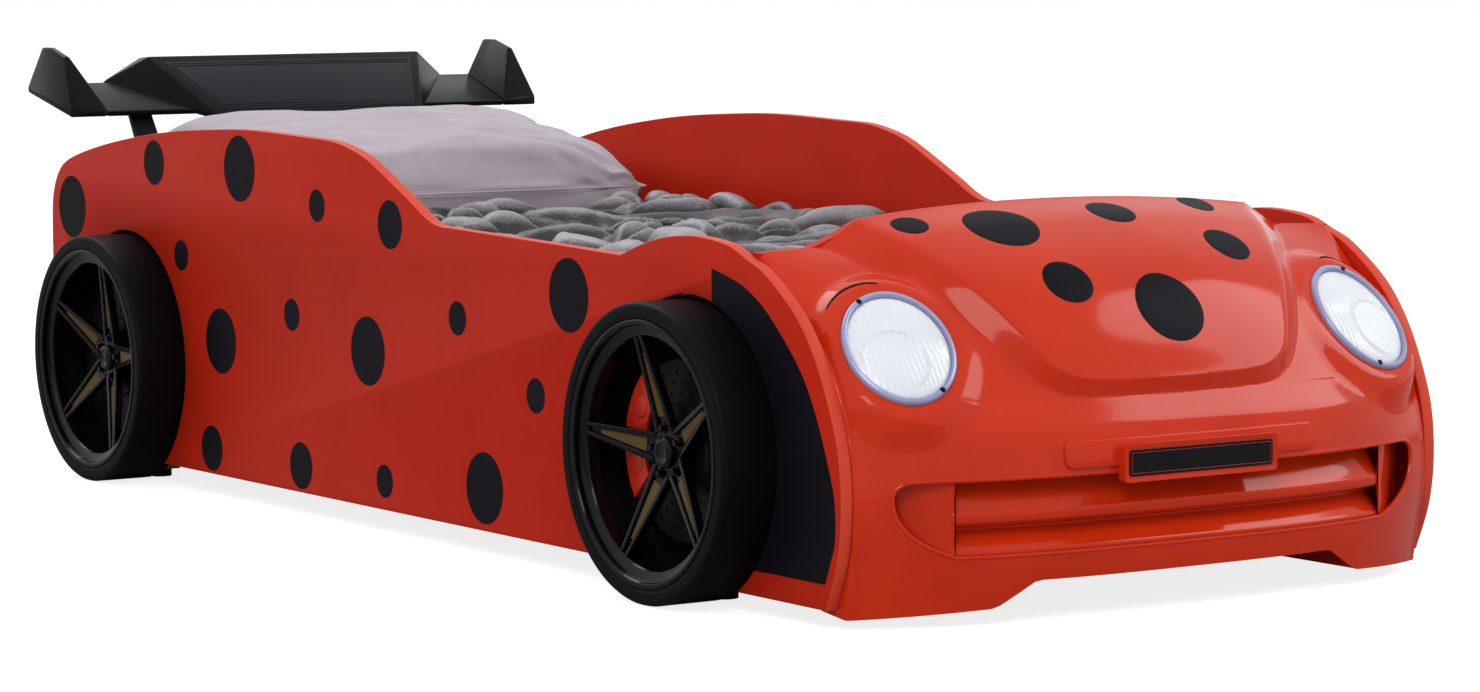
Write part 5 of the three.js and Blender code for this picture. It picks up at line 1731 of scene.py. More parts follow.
    def shell(self) -> BMesh:
        """The moulding's skin, cut for the lamps and the grille.

        Returns:
            The mesh.
        """
        rows = self.rows()
        columns = [self.columns(share) for share in rows]
        rim = self.rim_steps + 1
        count = len(columns[0]) + 2 * rim
        mesh = bmesh.new()
        bmesh.ops.create_grid(mesh, x_segments=count - 1, y_segments=len(rows) - 1, size=1)
        for vert in mesh.verts:
            row = round((1 - vert.co.y) / 2 * (len(rows) - 1))
            column = round((vert.co.x + 1) / 2 * (count - 1))
            vert.co = self.place(columns[row], column - rim, rows[row])
        thicken(mesh, (0, -1, 0), self.skin)
        bmesh.ops.recalc_face_normals(mesh, faces=mesh.faces)
        front = self.surface.rear_y - self.surface.reach - 40
        tools = [slab([(x, front, z) for x, z in self.grille_outline()], (0, self.cutter, 0))]
        radius = self.surface.lamps.half_width + 0.5
        for _, side in BOTH_SIDES:
            lamp = bmesh.new()
            add_peg(lamp, Matrix(), (radius, radius), self.cutter, 96)
            tools.append(moved(lamp, self.surface.lamps.place(side) @ self.surface.lamps.oval()))
        return cut(mesh, tools)

    def returns(self) -> BMesh:
        """The inner walls of the skirt's two feet.

        Returns:
            The mesh.
        """
        inner = self.surface.foot_outer
        low, step, high = self.return_z
        parts = []
        for _, side in BOTH_SIDES:
            front = self.surface.face_y(side * inner, self.surface.skirt_z + 4) + 3
            outline = ((front, low), (front, step), (front + 57, high), (self.return_y, high),
                       (self.return_y, low))
            wall = slab([(side * inner, y, z) for y, z in outline], (side * 3, 0, 0))
            parts.append(round_edges(wall, 0.8, 1))
        return join(parts)

    def lip(self) -> BMesh:
        """The rolled edge round the grille opening.

        Returns:
            The mesh.
        """
        points = self.grille_outline()
        path = []
        for (x0, z0), (x1, z1) in zip(points, points[1:] + points[:1]):
            steps = max(1, int(math.hypot(x1 - x0, z1 - z0) / 12))
            for i in range(steps):
                x, z = x0 + (x1 - x0) * i / steps, z0 + (z1 - z0) * i / steps
                path.append((x, self.surface.face_y(x, z) + 1.6, z))
        return tube(path, 3)

    def swept(self, section: Callable[[float], Sequence[Point]], x0: float, x1: float,
              steps: int) -> BMesh:
        """A section in depth and Z, carried across the bumper along its plan.

        Args:
            section: Gives the closed section, with one number of points, at a place across.
            x0: Where it starts.
            x1: Where it ends.
            steps: How many steps it takes.

        Returns:
            The closed mesh.
        """
        mesh = bmesh.new()
        rings = []
        for i in range(steps + 1):
            x = x0 + (x1 - x0) * i / steps
            y = self.surface.body_point(x, self.plan_share).y
            rings.append([mesh.verts.new((x, y + depth, z)) for depth, z in section(x)])
        loops = [add_loop(mesh, ring) for ring in rings]
        for near, far in zip(loops, loops[1:]):
            bmesh.ops.bridge_loops(mesh, edges=near + far)
        mesh.faces.new(rings[0])
        mesh.faces.new(rings[-1])
        return face_up(mesh)

    def louvres(self) -> BMesh:
        """The two sloping louvres of the grille, with the bar between them.

        Returns:
            The mesh.
        """
        deep, low, high = self.grille_depth, self.grille_bottom_z - 6, self.grille_top_z + 6
        section = [
            (deep, high), (deep, 178), *self.bar, (deep, 121), (deep, 118), *self.sill, (10.5, low),
            (deep + 4, low), (deep + 4, high),
        ]
        return self.swept(lambda x: section, -self.divider_x, self.divider_x, 48)

    def scoop(self, side: int) -> BMesh:
        """The smooth pocket beside the louvres, deepest at its outer end.

        Args:
            side: 1 for the left, -1 for the right.

        Returns:
            The closed mesh.
        """
        end = self.grille_bulge_half + 5

        def section(x: float) -> list[Point]:
            """A plate whose depth grows outwards.

            Args:
                x: The place across, from the middle.

            Returns:
                The section, in depth and Z.
            """
            share = smooth((abs(x) - self.divider_x) / (end - self.divider_x))
            depth = 7 + (self.grille_depth - 8) * share
            low, high = self.grille_bottom_z - 6, self.grille_top_z + 6
            return [(depth, low), (depth + 5 * (1 - share), 130), (depth, high), (depth + 4, high),
                    (depth + 4, low)]

        return self.swept(section, side * (self.divider_x - 3), side * end, 16)

    def formed_block(self) -> BMesh:
        """A pad with rounded corners that follows the bumper's face and stands out from it.

        Returns:
            The mesh.
        """
        half, out = self.pad_half, self.pad_out
        mesh = block((-half, -out, self.pad_low_z), (half, 6, self.pad_high_z))
        corners = [edge for edge in mesh.edges if abs(edge.verts[0].co.y - edge.verts[1].co.y) > 1]
        ease(mesh, corners, self.pad_corner, 5)
        rims = [edge for edge in mesh.edges if all(vert.co.y < 0 for vert in edge.verts)]
        ease(mesh, rims, self.pad_ease, 3)
        for i in range(1, 24):
            bmesh.ops.bisect_plane(mesh, geom=mesh.verts[:] + mesh.edges[:] + mesh.faces[:],
                                   plane_co=(half * (i / 12 - 1), 0, 0), plane_no=(1, 0, 0))
        for vert in mesh.verts:
            vert.co.y += self.surface.face_y(vert.co.x, vert.co.z)
        return mesh

    def plate_holder(self) -> BMesh:
        """The moulded frame that stands proud of the bumper round the plate.

        Returns:
            The mesh.
        """
        low, high = self.plate_low_z - self.plate_rim, self.plate_high_z + self.plate_rim
        half = self.plate_half + self.plate_rim
        front, back = (corner.y for corner in box_of("plate_holder"))
        mesh = block((-half, front, low), (half, back, high))
        for vert in mesh.verts:
            if vert.co.y > front + 1:
                vert.co.y = self.surface.face_y(vert.co.x, vert.co.z) + 1
        ease(mesh, [edge for edge in mesh.edges
                    if abs(edge.verts[0].co.y - edge.verts[1].co.y) > 2], 5, 4)
        face = min(mesh.faces, key=lambda item: item.calc_center_median().y)
        bmesh.ops.inset_region(mesh, faces=[face], thickness=self.plate_rim - 1.2,
                               use_even_offset=True)
        bmesh.ops.translate(mesh, vec=(0, self.plate_sink, 0), verts=face.verts)
        return round_edges(mesh, 1, 2, 50)

    def plate(self) -> BMesh:
        """The blank plate, with eased edges.

        Returns:
            The mesh.
        """
        front = box_of("plate_holder")[0].y
        gap = self.plate_gap
        low = (gap - self.plate_half, self.plate_low_z + gap)
        high = (self.plate_half - gap, self.plate_high_z - gap)
        outline = rounded_rectangle(low, high, self.plate_corner, self.plate_corner, 6)
        return round_edges(slab([(x, front + 2.6, z) for x, z in outline], (0, -1.6, 0)), 0.4, 1)

    def plate_line(self) -> BMesh:
        """The fine red line inside the plate's edge.

        Returns:
            The mesh.
        """
        front = box_of("plate_holder")[0].y
        inset = self.plate_line_inset
        half = self.plate_half - inset
        low, high = self.plate_low_z + inset, self.plate_high_z - inset
        path = [(-half, low), (half, low), (half, high), (-half, high)]
        return tube([(x, front + 0.95, z) for x, z in path], self.plate_line_radius)

    def spot(self, x: float, y: float, size: float) -> BMesh:
        """A round film laid on the bonnet, its middle found by its Y.

        Args:
            x: Its middle across.
            y: Its middle's Y.
            size: Its diameter.

        Returns:
            The mesh, in its place.
        """
        point, step = self.surface.point, self.probe
        share = self.surface.share_behind(x, y, self.surface.nose_crest)
        per_x = (point(x + 1, share) - point(x - 1, share)).length / 2
        per_share = (point(x, share + step) - point(x, share - step)).length / (2 * step)
        mesh = bmesh.new()
        line = mesh.edges.new((mesh.verts.new((0, 0, 0)), mesh.verts.new((1, 0, 0))))
        bmesh.ops.subdivide_edges(mesh, edges=[line], cuts=9)
        bmesh.ops.spin(mesh, geom=mesh.verts[:] + mesh.edges[:], cent=(0, 0, 0), axis=(0, 0, 1),
                       angle=math.tau, steps=64, use_merge=True)
        bmesh.ops.remove_doubles(mesh, verts=mesh.verts, dist=1e-4)
        for vert in mesh.verts:
            lift = self.film_rim if vert.co.length > 0.999 else self.film
            place_x = x + vert.co.x * size / 2 / per_x
            place = max(0.001, share - vert.co.y * size / 2 / per_share)
            vert.co = point(place_x, place) + self.surface.normal(place_x, place) * lift
        return thicken(mesh, (0, 0, 1), 0.3)

    def brow(self, side: int) -> BMesh:
        """The dark slit over a headlight, which follows the moulding's face.

        Args:
            side: 1 for the left, -1 for the right.

        Returns:
            The mesh, in its place.
        """
        lamps, steps = self.surface.lamps, self.brow_steps
        place = lamps.place(side)
        mesh = bmesh.new()
        verts = []
        for i in range(steps + 1):
            share = i / steps
            turn = math.radians(self.brow_start + self.brow_sweep * share)
            middle = self.brow_reach + self.brow_rise * math.sin(math.pi * share * self.brow_bend)
            swell = self.brow_half * math.sin(math.pi * share) ** 0.6 + self.brow_tip
            for reach in (middle - swell, middle + swell):
                local = Vector((-side * reach * lamps.half_width * math.cos(turn),
                                reach * lamps.half_height * math.sin(turn), 0))
                verts.append(mesh.verts.new(self.onto_face(place @ local)))
        edges = [mesh.edges.new((verts[i + first], verts[i + first + 2]))
                 for first in (0, 1) for i in range(0, 2 * steps, 2)]
        bmesh.ops.bridge_loops(mesh, edges=edges)
        return thicken(mesh, (0, 0, 1), 0.8)

    def onto_face(self, point: Vector) -> Vector:
        """The place on the moulding's face straight below or above a point, a film's height out.

        Args:
            point: The point.

        Returns:
            The place on the face.
        """
        reach = self.surface.half - 8
        x = max(-reach, min(reach, point.x))
        share = self.surface.share_behind(x, point.y, 0.8)
        return self.surface.point(x, share) + self.surface.normal(x, share) * 0.5

    def lamp_piece(self, profile: Sequence[Point], steps: int, side: int) -> BMesh:
        """A turned lamp piece, given as radius and height out of the lamp's face.

        Args:
            profile: Pairs of radius and height.
            steps: How many steps the turn takes.
            side: 1 for the left, -1 for the right.

        Returns:
            The mesh, in its place.
        """
        mesh = lathe([(height, radius) for radius, height in profile], steps)
        upright = Matrix(((0, 0, 1, 0), (0, 1, 0, 0), (1, 0, 0, 0), (0, 0, 0, 1)))
        moved(mesh, self.surface.lamps.place(side) @ self.surface.lamps.oval() @ upright)
        bmesh.ops.recalc_face_normals(mesh, faces=mesh.faces)
        return mesh

    def ring(self, side: int) -> BMesh:
        """The satin ring round a headlight."""
        out = self.surface.lamps.half_width
        return self.lamp_piece([(out - inner, height) for inner, height in self.ring_section], 128,
                               side)

    def lens(self, side: int) -> BMesh:
        """The domed lens, with the ring that a bowl presses into it and fine flutes outside that
        ring.

        Args:
            side: 1 for the left, -1 for the right.

        Returns:
            The mesh, in its place.
        """
        crown = self.lens_crown
        rim = self.surface.lamps.half_width - self.lens_inset
        radii = [rim * (1 - i / 40) for i in range(40)]
        profile = [(radius, crown * math.sqrt(max(0.0, 1 - (radius / rim) ** 2.2)))
                   for radius in radii]
        back = [(0.4, crown), (0.4, crown - 4), (rim - 6, -3), (rim - 6, -5)]
        mesh = self.lamp_piece([(rim, -5), *profile, *back], 144, side)
        place = self.surface.lamps.place(side)
        facing, inverse = place.col[2].xyz, place.inverted()
        for vert in mesh.verts:
            local = inverse @ vert.co
            if local.z > 0.5:
                bowl = math.hypot(local.x - side * self.bowl_place[0], local.y + self.bowl_place[1])
                ridge = math.exp(-((bowl - self.bowl_radius) / self.ridge_width) ** 2)
                inside = smooth((self.bowl_radius + 2 - bowl) / 4)
                flute = self.flute_height * math.sin(local.x
                                                     * math.tau / self.flute_pitch) * (1 - inside)
                fade = smooth((rim - math.hypot(local.x, local.y)) / 12)
                vert.co += facing * (self.ridge_height * ridge + flute) * fade
        return mesh

    def screws(self, side: int) -> BMesh:
        """The two cross-head screws in a lamp's ring.

        Args:
            side: 1 for the left, -1 for the right.

        Returns:
            The mesh, in its place.
        """
        lamps, arm = self.surface.lamps, self.screw_slot
        reach = lamps.half_width - self.screw_inset[0], lamps.half_height - self.screw_inset[1]
        parts = []
        for turn in self.screw_turns[side < 0]:
            angle = math.radians(turn)
            spot = (reach[0] * math.cos(angle), reach[1] * math.sin(angle), self.screw_out)
            head = bmesh.new()
            add_peg(head, Matrix(), self.screw_radii, 1.8, 24)
            slots = [block((-x / 2, -y / 2, 0.3), (x / 2, y / 2, 1.7)) for x, y in (arm, arm[::-1])]
            parts.append(moved(cut(head, slots), lamps.place(side) @ Matrix.Translation(spot)))
        return join(parts)

    def build(self) -> None:
        """Make the moulding and everything set into it."""
        moulding = join([self.shell(), self.returns(), self.lip()])
        put(moulding,
            Label("front_moulding", RED_MOULDING, "red_moulding", ("front_fascia",), sharp=40))
        grille = round_edges(join([self.louvres(), self.scoop(1), self.scoop(-1)]), 0.8, 1, 60)
        put(grille,
            Label("grille_louvres", RED_MOULDING, "red_moulding", ("grille_insert",), sharp=40))
        put(self.formed_block(), Label("bumper_pad", RED_MOULDING, "red_moulding"))
        put(self.plate_holder(),
            Label("plate_frame", RED_MOULDING, "red_moulding", ("plate_holder",)))
        put(self.plate(), Label("blank_plate", PLATE_BLACK, "plate_black", ("number_plate",)))
        put(self.plate_line(), Label("plate_border", RED_MOULDING, "red_moulding"))
        put(join([self.spot(*spot) for spot in self.spots]),
            Label("bonnet_spots", BLACK_FILM, "black_film"))
        for name, side in BOTH_SIDES:
            for piece, draw, finish, slot, solid in (
                    ("brow", self.brow, CUP_BLACK, "satin_black", ""),
                    ("ring", self.ring, LAMP_RING, "lamp_chrome", "bezel"),
                    ("lens", self.lens, LAMP_LENS, "lamp_lens", "lens"),
                    ("screws", self.screws, SCREW_BLACK, "", "")):
                solids = (f"headlight_{solid}_{name}",) if solid else ()
                put(draw(side), Label(f"lamp_{piece}_{name}", finish, slot, solids))


@dataclass
class RearWing:
    """The wing over the pillow: blade, raised centre box, end fins and struts."""

    head_y: float = 1075.5
    nose: float = 21.5
    nose_z: float = 563
    chord: float = 122
    rise: float = 53
    thickness: float = 9
    fin_root: float = 377
    half: float = 442
    box: tuple[Point, ...] = ((194, -16.5), (258, 111), (326, 150))
    box_top_z: float = 658
    box_depth: float = 34
    badge: tuple[Point, ...] = ((186, 14), (234, 142))
    strut_x: float = 304
    crank_z: float = 488
    bolt_z: Point = (418, 462)
    fin_foot: tuple[Point, ...] = ((0, 563), (0, 578), (168.5, 600.7), (168.5, 610.2))
    fin_top: tuple[Point, ...] = ((53, 661), (107.7, 675.5), (139.5, 675.5))
    fin_top_x: Point = (419, 428)

    def section(self) -> list[Point]:
        """The blade's section in Y and Z.

        Returns:
            The outline's points.
        """
        y, z, half = self.head_y + self.nose, self.nose_z, self.thickness / 2
        return [(y, z), (y - half, z + 2 * half), (y + self.chord, z + self.rise),
                (y + self.chord + half, z + self.rise - self.thickness)]

    def blade(self) -> BMesh:
        """The blade and the centre box on it.

        Returns:
            The mesh.
        """
        blade = hull([(x, y, z) for x in (-self.fin_root, self.fin_root)
                      for y, z in self.section()])
        (nose, nose_y), (top, top_y), (tail, tail_y) = self.box
        y, z, wall, top_z = self.head_y, self.nose_z, self.thickness, self.box_top_z
        section = (
            (nose, nose_y, z), (nose, nose_y + wall, z - wall), (top, top_y, top_z),
            (top, top_y + self.box_depth, top_z - 2.4), (tail, tail_y, z + self.rise),
            (tail, tail_y, z + self.rise - wall))
        box = hull([(side * across, y + ahead, height) for side in (-1, 1)
                    for across, ahead, height in section])
        return join([round_edges(blade, 2.4, 3, 25), round_edges(box, 2.6, 3, 12)])

    def badge_frame(self) -> Matrix:
        """The centre panel's own frame: across, up its slope, and out of it.

        Returns:
            The matrix.
        """
        low, high = self.box[0][1], self.box[1][1]
        rise = Vector((0, high - low, self.box_top_z - self.nose_z)).normalized()
        across = Vector((1, 0, 0))
        return axes_at(across, rise, across.cross(rise), (0, self.head_y + low, self.nose_z))

    def badge_outline(self, inset: float) -> list[Point]:
        """The centre panel's outline on its slope.

        Args:
            inset: How far inside the panel's edge it runs.

        Returns:
            The corners, in the panel's own frame.
        """
        (low, low_up), (high, high_up) = self.badge
        return [(inset - low, low_up + inset), (low - inset, low_up + inset),
                (high - inset, high_up - inset), (inset - high, high_up - inset)]

    def badge_panel(self) -> BMesh:
        """The blank satin panel on the box."""
        mesh = slab([(x, y, -0.3) for x, y in self.badge_outline(0)], (0, 0, 1.1))
        return round_edges(moved(mesh, self.badge_frame()), 0.5, 2)

    def badge_lines(self) -> BMesh:
        """Two fine raised lines that frame the centre panel."""
        lines = [tube([(x, y, 0.8) for x, y in self.badge_outline(inset)], 0.7)
                 for inset in (5, 11)]
        return moved(join(lines), self.badge_frame())

    def fin(self) -> BMesh:
        """The left end fin: a wedge that stands up and leans in.

        Returns:
            The mesh.
        """
        y = self.head_y + self.nose
        root = self.fin_root + 0.3
        points = [(root, py, pz) for py, pz in self.section()]
        points += [(self.half, y + ahead, z) for ahead, z in self.fin_foot]
        points += [(x, y + ahead, z) for x in self.fin_top_x for ahead, z in self.fin_top]
        return round_edges(hull(points), 2.4, 3, 18)

    def strut(self) -> BMesh:
        """A left strut, cranked from the headboard up to the blade.

        Returns:
            The mesh.
        """
        low, high = box_of("wing_strut_left")
        y0, y1, top = self.head_y + 0.3, self.head_y + 12.3, self.crank_z
        outline = [(y0, top - 90), (y1, top - 90), (y1, top), (high.y, high.z - 1.5),
                   (high.y - 12, high.z - 6),
                   (y0, top + 12)]
        mesh = slab([(low.x, y, z) for y, z in outline], (high.x - low.x, 0, 0))
        return round_edges(mesh, 1.5, 2)

    def bolts(self) -> BMesh:
        """The bolts that hold a left strut to the headboard.

        Returns:
            The mesh.
        """
        mesh = bmesh.new()
        for z in self.bolt_z:
            place = Matrix.Translation((self.strut_x, self.head_y + 15, z)) @ ALONG_Y
            add_peg(mesh, place @ Matrix.Translation((0, 0, 1.6)), (8, 8), 1.6, 24)
            add_peg(mesh, place, (6, 6), 4.8, 6)
        return round_edges(mesh, 0.5, 1)

    def build(self) -> None:
        """Make the wing and its struts."""
        put(self.blade(), Label("wing_blade", WING_BLACK, "wing_black", ("rear_wing",)))
        put(self.badge_panel(),
            Label("wing_panel", PANEL_BLACK, "satin_black", ("wing_centre_panel",)))
        put(self.badge_lines(), Label("wing_panel_lines", WING_BLACK, "wing_black"))
        put_pair(self.fin, Label("wing_end", WING_BLACK, "wing_black", ("wing_fin",)))
        put_pair(self.strut, Label("wing_post", STRUT_BLACK, "satin_black", ("wing_strut",)))
        put_pair(self.bolts, Label("wing_post_bolts", SCREW_BLACK, ""))


@dataclass
class Bedding:
    """The mattress, the crumpled blanket over it and the pillow."""

    corner: float = 40
    edge: float = 16
    piping: float = 3.5
    pillow_shift: float = 25
    pillow_half: Point = (368, 195)
    pillow_cells: tuple[int, int] = (112, 62)
    seam_rise: float = 56
    seam_tilt: float = 74
    crown: float = 64
    belly: float = 102
    draw: float = 0.05
    seam_bead: float = 1.7
    wrinkle: float = 10
    wrinkle_reach: float = 190
    dent: float = 0.12
    dent_seed: float = 3.1
    held: float = 0.9
    pillow_slack: float = 6
    seam_ease: float = 12
    corner_ease: float = 40
    rays: float = 9
    ray_length: float = 160
    ray_seed: float = 2.4
    ray_share: float = 2.2
    drag_pitch: Triple = (150, 26, 60)
    drag_share: float = 0.45
    pillow_run: ClothRun = ClothRun(frames=20, shrink=-0.045, pressure=3.2, bending=0.15,
                                    tension=10, cap=13)
    blanket_cells: tuple[int, int] = (66, 150)
    blanket_edge: float = -12
    blanket_flat: Point = (1.5, 2.0)
    blanket_thickness: float = 4
    fold_rise: float = 9
    roll_pitch: float = 82
    roll_rise: float = 62
    roll_gain: float = 1.9
    warp_pitch: float = 260
    warp_reach: float = 120
    warp_seed: Triple = (7, 3, 5)
    fold_pitch: Point = (46, 62)
    fold_seed: float = 8.5
    crushed_rise: float = 6
    beside: float = 30
    tuck_from: float = 604
    tuck_to: float = 652
    blanket_run: ClothRun = ClothRun(frames=26, shrink=-0.26, gravity=0.35, bending=1.6, tension=15)

    def mattress(self) -> BMesh:
        """A foam mattress with rounded corners and eased edges.

        Returns:
            The mesh.
        """
        mesh = block(*box_of("mattress"))
        corners = [edge for edge in mesh.edges if abs(edge.verts[0].co.z - edge.verts[1].co.z) > 1]
        ease(mesh, corners, self.corner, 8)
        return round_edges(mesh, self.edge, 4, 60)

    def piping_beads(self) -> BMesh:
        """The piping round the mattress's top and bottom edges.

        Returns:
            The mesh.
        """
        low, high = box_of("mattress")
        reach = self.corner - self.piping * 0.6
        outline = rounded_rectangle(low.xy, high.xy, self.corner, reach, 8)
        levels = (low.z + self.edge, high.z - self.edge)
        return join([tube([(x, y, z) for x, y in outline], self.piping) for z in levels])

    def seam_place(self, u: float, v: float) -> Vector:
        """A point of the pillow's seam plane, drawn in between its corners.

        Args:
            u: The share across, from -1 to 1.
            v: The share along, from -1 to 1.

        Returns:
            The point.
        """
        low, high = box_of("pillow")
        middle = (low.y + high.y) / 2
        x = self.pillow_shift + self.pillow_half[0] * u * (1 - self.draw * (1 - v * v))
        y = middle + self.pillow_half[1] * v * (1 - self.draw * (1 - u * u))
        return Vector((x, y, low.z + self.seam_rise + self.seam_tilt * (v + 1) / 2))

    def pillow(self) -> BMesh:
        """The pillow: two faces sewn at a knife edge, filled, and let wrinkle as cloth.

        Returns:
            The mesh.
        """
        low, high = box_of("pillow")
        faces = []
        for top in (True, False):
            face = bmesh.new()
            bmesh.ops.create_grid(face, x_segments=self.pillow_cells[0],
                                  y_segments=self.pillow_cells[1], size=1)
            for vert in face.verts:
                u, v = (math.sin(math.pi / 2 * part) for part in vert.co.xy)
                fill = math.sqrt(max(0.0, (1 - u ** 4) * (1 - v ** 4)))
                dent = 1 + self.dent * noise.noise(Vector((u * 2.2, v * 1.6, self.dent_seed)))
                place = self.seam_place(u, v)
                lift = self.crown * dent if top else -self.belly
                vert.co = (place.x, place.y, max(low.z, place.z + lift * fill))
            if not top:
                bmesh.ops.reverse_faces(face, faces=face.faces)
            faces.append(face)
        mesh = join(faces)
        bmesh.ops.remove_doubles(mesh, verts=mesh.verts, dist=0.4)
        bmesh.ops.recalc_face_normals(mesh, faces=mesh.faces)
        settle_cloth(mesh, self.pillow_run,
                     lambda point: self.held if self.off_seam(point) < 1 else 0.0)
        self.wrinkle_pillow(mesh, low.z, high.z + self.pillow_slack)
        return mesh

    def wrinkle_pillow(self, mesh: BMesh, low_z: float, high_z: float) -> None:
        """Draw the pillow's wrinkles, which fan out from one corner, between two heights.

        Args:
            mesh: The settled pillow.
            low_z: Its least height.
            high_z: Its greatest height.
        """
        mesh.normal_update()
        corner = self.seam_place(1, -1)
        for vert in mesh.verts:
            away = vert.co - corner
            turn = math.atan2(away.y, -away.x)
            begun = smooth(away.length / self.corner_ease)
            near = math.exp(-away.length / self.wrinkle_reach) * begun
            along = away.length / self.ray_length
            ray = noise.noise(Vector((turn * self.rays, along, self.ray_seed)))
            spread = [part / pitch for part, pitch in zip(vert.co, self.drag_pitch)]
            drag = noise.noise(Vector(spread))
            hold = smooth(self.off_seam(vert.co) / self.seam_ease)
            rise = self.ray_share * near * ray + self.drag_share * drag
            vert.co += vert.normal * hold * self.wrinkle * rise
            vert.co.z = min(max(vert.co.z, low_z), high_z)

    def off_seam(self, point: Vector) -> float:
        """How far a point lies from the seam's plane.

        Args:
            point: The point.

        Returns:
            The distance.
        """
        low, high = box_of("pillow")
        share = (point.y - low.y) / (high.y - low.y)
        return abs(point.z - low.z - self.seam_rise - self.seam_tilt * share)

    def pillow_seam(self) -> BMesh:
        """The sewn bead round the pillow's knife edge.

        Returns:
            The mesh.
        """
        steps = [i / 40 * 2 - 1 for i in range(40)]
        path = [(s, -1) for s in steps] + [(1, s) for s in steps]
        path += [(-s, 1) for s in steps] + [(-1, -s) for s in steps]
        points = [[math.sin(math.pi / 2 * part) for part in point] for point in path]
        return tube([self.seam_place(u, v) for u, v in points], self.seam_bead)

    def blanket(self) -> BMesh:
        """The blanket: rolled crumples that settle as cloth, flat where the pillow lies on them.

        Returns:
            The mesh.
        """
        low, high = box_of("blanket")
        half = Vector((high.x - self.blanket_edge, (high.y - low.y) / 2 - self.blanket_edge))
        middle = (low.y + high.y) / 2
        mesh = bmesh.new()
        bmesh.ops.create_grid(mesh, x_segments=self.blanket_cells[0],
                              y_segments=self.blanket_cells[1], size=1)
        for vert in mesh.verts:
            across, along = vert.co.xy
            place = Vector((across * half.x, middle + along * half.y, 0))
            swirl = place / self.warp_pitch
            lean = (noise.noise(swirl), noise.noise(swirl + Vector(self.warp_seed)), 0)
            warp = Vector(lean) * self.warp_reach
            roll = abs(noise.noise((place + warp) / self.roll_pitch)) * self.roll_gain
            fade = smooth((1 - abs(across)) * 9) * smooth((1 - abs(along)) * 16)
            vert.co = (place.x, place.y, low.z + 5 + fade * (10 + self.roll_rise * roll))
        flat = [vert.co.copy() for vert in mesh.verts]
        rim_x, rim_y = half.x - 4, half.y - 4
        run = replace(self.blanket_run, floor_z=low.z)
        settle_cloth(mesh, run,
                     lambda point: float(abs(point.x) > rim_x or abs(point.y - middle) > rim_y))
        self.press_blanket(mesh, flat, low.z, high.z)
        bmesh.ops.smooth_vert(mesh, verts=mesh.verts, factor=0.3, use_axis_x=True, use_axis_y=True,
                              use_axis_z=True)
        return self.line_blanket(mesh)

    def press_blanket(self, mesh: BMesh, flat: Sequence[Vector], low_z: float,
                      high_z: float) -> None:
        """Lay the blanket flat under the pillow and draw its fine folds in the open.

        Args:
            mesh: The settled blanket.
            flat: Where its points lay before they settled.
            low_z: The height of the mattress.
            high_z: The blanket's greatest height.
        """
        left, right = (corner.x for corner in box_of("pillow"))
        crushed = self.crushed_rise
        for vert, place in zip(mesh.verts, flat):
            beside = max(smooth((place.x - right) / self.beside),
                         smooth((left - place.x) / self.beside))
            tucked = smooth((place.y - self.tuck_from) / (self.tuck_to - self.tuck_from))
            open_share = max(beside, 1 - tucked)
            vert.co.xy = place.xy.lerp(vert.co.xy, open_share)
            ceiling = crushed + (high_z + 6 - low_z - crushed) * open_share
            crease = Vector((place.x / self.fold_pitch[0], place.y / self.fold_pitch[1],
                             self.fold_seed))
            fold = 1 - 2.6 * abs(noise.noise(crease + place / 300))
            rise = max(2.0, vert.co.z - low_z + self.fold_rise * fold)
            vert.co.z = low_z + ceiling * math.tanh(rise / ceiling)

    def line_blanket(self, mesh: BMesh) -> BMesh:
        """Give the blanket its thickness, with a lower face joined on at its rim.

        Args:
            mesh: The upper face. It is freed.

        Returns:
            The closed mesh.
        """
        mesh.normal_update()
        under = mesh.copy()
        for vert in under.verts:
            vert.co -= vert.normal * self.blanket_thickness
        both = join([mesh, under])
        bmesh.ops.bridge_loops(both, edges=[edge for edge in both.edges if edge.is_boundary])
        bmesh.ops.recalc_face_normals(both, faces=both.faces)
        return both

    def build(self) -> None:
        """Make the bedding."""
        core = put(self.mattress(),
                   Label("foam_mattress", TICKING, "ticking", ("mattress",), "mattress"))
        put(self.piping_beads(), Label("mattress_piping", TICKING, "ticking", (), "mattress"))
        cover = put(self.blanket(),
                    Label("plush_blanket", PLUSH, "plush", ("blanket",), "blanket", 180))
        cushion = put(self.pillow(), Label("bed_pillow", PILLOW_COTTON, "pillow_cotton",
                                           ("pillow",), "pillow", 180))
        put(self.pillow_seam(), Label("pillow_seam", PILLOW_COTTON, "pillow_cotton", (), "pillow"))
        for piece in (cover, cushion):
            step = piece.modifiers.new("soft", "SUBSURF")
            step.levels = step.render_levels = 1


def dress_kept_solids() -> None:
    """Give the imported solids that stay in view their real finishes."""
    finishes = {
        "headboard": RED_BOARD, "footboard": RED_BOARD, "liner_board": LINER, "slat_cleat": PINE,
        "centre_beam": PINE, "slat_roll": PINE, "leg": PINE, "glide": FOOT_RUBBER,
        "headlight_bowl": CHROME, "headlight_led": LAMP_WHITE,
    }
    for name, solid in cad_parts.items():
        for start, finish in finishes.items():
            if name.startswith(start):
                solid.data.materials.clear()
                solid.data.materials.append(finish.build())


# Floor, lights and camera

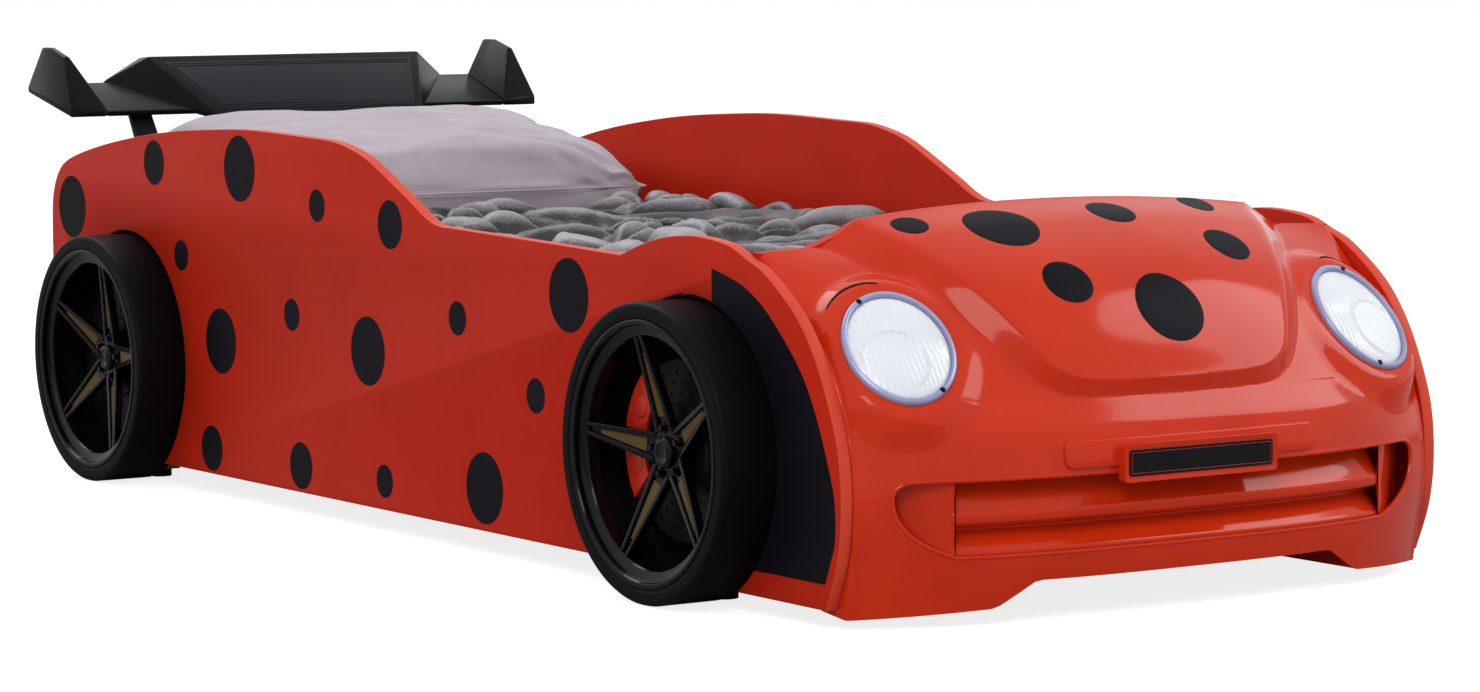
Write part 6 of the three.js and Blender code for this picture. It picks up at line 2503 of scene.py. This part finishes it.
@dataclass(frozen=True)
class Studio:
    """A pale floor under soft lamps, seen from the photograph's place."""

    camera_place: Triple = (-3517.16, -5527.04, 834.44)
    azimuth: float = -33.5075
    elevation: float = 5.1714
    roll: float = -0.3507
    lens: float = 107.17
    sensor: float = 36
    floor_half: float = 30000
    floor_lift: float = 0.82
    ambient: float = 0.62
    aim: Triple = (0, -0.2, 0.3)
    lamps: tuple[tuple[Triple, float, float], ...] = (
        ((-3200, -4200, 3600), 2600, 95), ((3600, -2600, 3200), 2400, 60),
        ((-600, 3200, 3800), 2800, 70))

    def camera(self) -> None:
        """Set the camera at the photograph's place and angle."""
        turn, lift, roll = (math.radians(part)
                            for part in (self.azimuth, self.elevation, self.roll))
        level = math.cos(lift)
        back = Vector((math.sin(turn) * level, -math.cos(turn) * level, math.sin(lift)))
        right = (-back).cross(Vector((0, 0, 1))).normalized()
        up = right.cross(-back)
        across = right * math.cos(roll) + up * math.sin(roll)
        high = up * math.cos(roll) - right * math.sin(roll)
        data = bpy.data.cameras.new("photo_camera")
        data.lens = self.lens
        data.sensor_width = self.sensor
        data.clip_end = 200
        holder = add_object("photo_camera", data)
        holder.matrix_world = axes_at(across, high, back, Vector(self.camera_place) * MM)
        bpy.context.scene.camera = holder

    def floor(self) -> None:
        """A large pale floor that keeps the bed's shadow."""
        mesh = bmesh.new()
        bmesh.ops.create_grid(mesh, x_segments=1, y_segments=1, size=self.floor_half * MM)
        data = to_data(mesh, "floor")
        material = bpy.data.materials.new("pale studio floor")
        material.use_nodes = True
        tree = material.node_tree
        shader = tree.nodes["Principled BSDF"]
        for socket, value in (("Base Color", linear("#B9B9BC")), ("Roughness", 0.9),
                              ("Specular IOR Level", 0.0), ("Emission Color", linear("#FFFFFF"))):
            shader.inputs[socket].default_value = value
        path = add_node(tree, "ShaderNodeLightPath")
        lift, output = add_math(tree, "MULTIPLY", (path, "Is Camera Ray"), self.floor_lift)
        tree.links.new(lift.outputs[output], shader.inputs["Emission Strength"])
        data.materials.append(material)
        plane = add_object("floor", data)

    def world(self) -> None:
        """A white world to the eye and in reflections, and a softer one as light."""
        world = bpy.data.worlds.new("studio")
        bpy.context.scene.world = world
        world.use_nodes = True
        tree = world.node_tree
        path = add_node(tree, "ShaderNodeLightPath")
        seen = add_math(tree, "MAXIMUM", (path, "Is Camera Ray"), (path, "Is Transmission Ray"))
        shown = add_math(tree, "MAXIMUM", seen, (path, "Is Glossy Ray"))
        level = add_node(tree, "ShaderNodeMapRange", {"To Min": self.ambient, "To Max": 1.0},
                         {"Value": shown})
        background = tree.nodes["Background"]
        background.inputs["Color"].default_value = (1, 1, 1, 1)
        tree.links.new(level.outputs["Result"], background.inputs["Strength"])

    def light(self) -> None:
        """Three soft lamps, the strongest ahead of the bonnet on the near side."""
        for index, (place, size, power) in enumerate(self.lamps):
            data = bpy.data.lights.new(f"softbox_{index}", "AREA")
            data.shape = "DISK"
            data.size = size * MM
            data.energy = power
            holder = add_object(data.name, data)
            holder.location = Vector(place) * MM
            aim = Vector(self.aim) - holder.location
            holder.rotation_euler = aim.to_track_quat("-Z", "Y").to_euler()

    def build(self) -> None:
        """Set up the studio."""
        self.camera()
        self.floor()
        self.world()
        self.light()
        bpy.context.scene.view_settings.view_transform = "Standard"


def main() -> None:
    """Build the bed's classes in order."""
    logging.basicConfig(level=logging.INFO, format="%(name)s: %(message)s")
    studio = Studio()
    studio.build()
    low, high = box_of("front_fascia")
    surface = FrontSurface(rear_y=high.y, half=high.x)
    SidePanels().build()
    Wheels().build()
    FrontEnd(surface).build()
    RearWing().build()
    Bedding().build()
    dress_kept_solids()


if __name__ == "__main__":
    main()
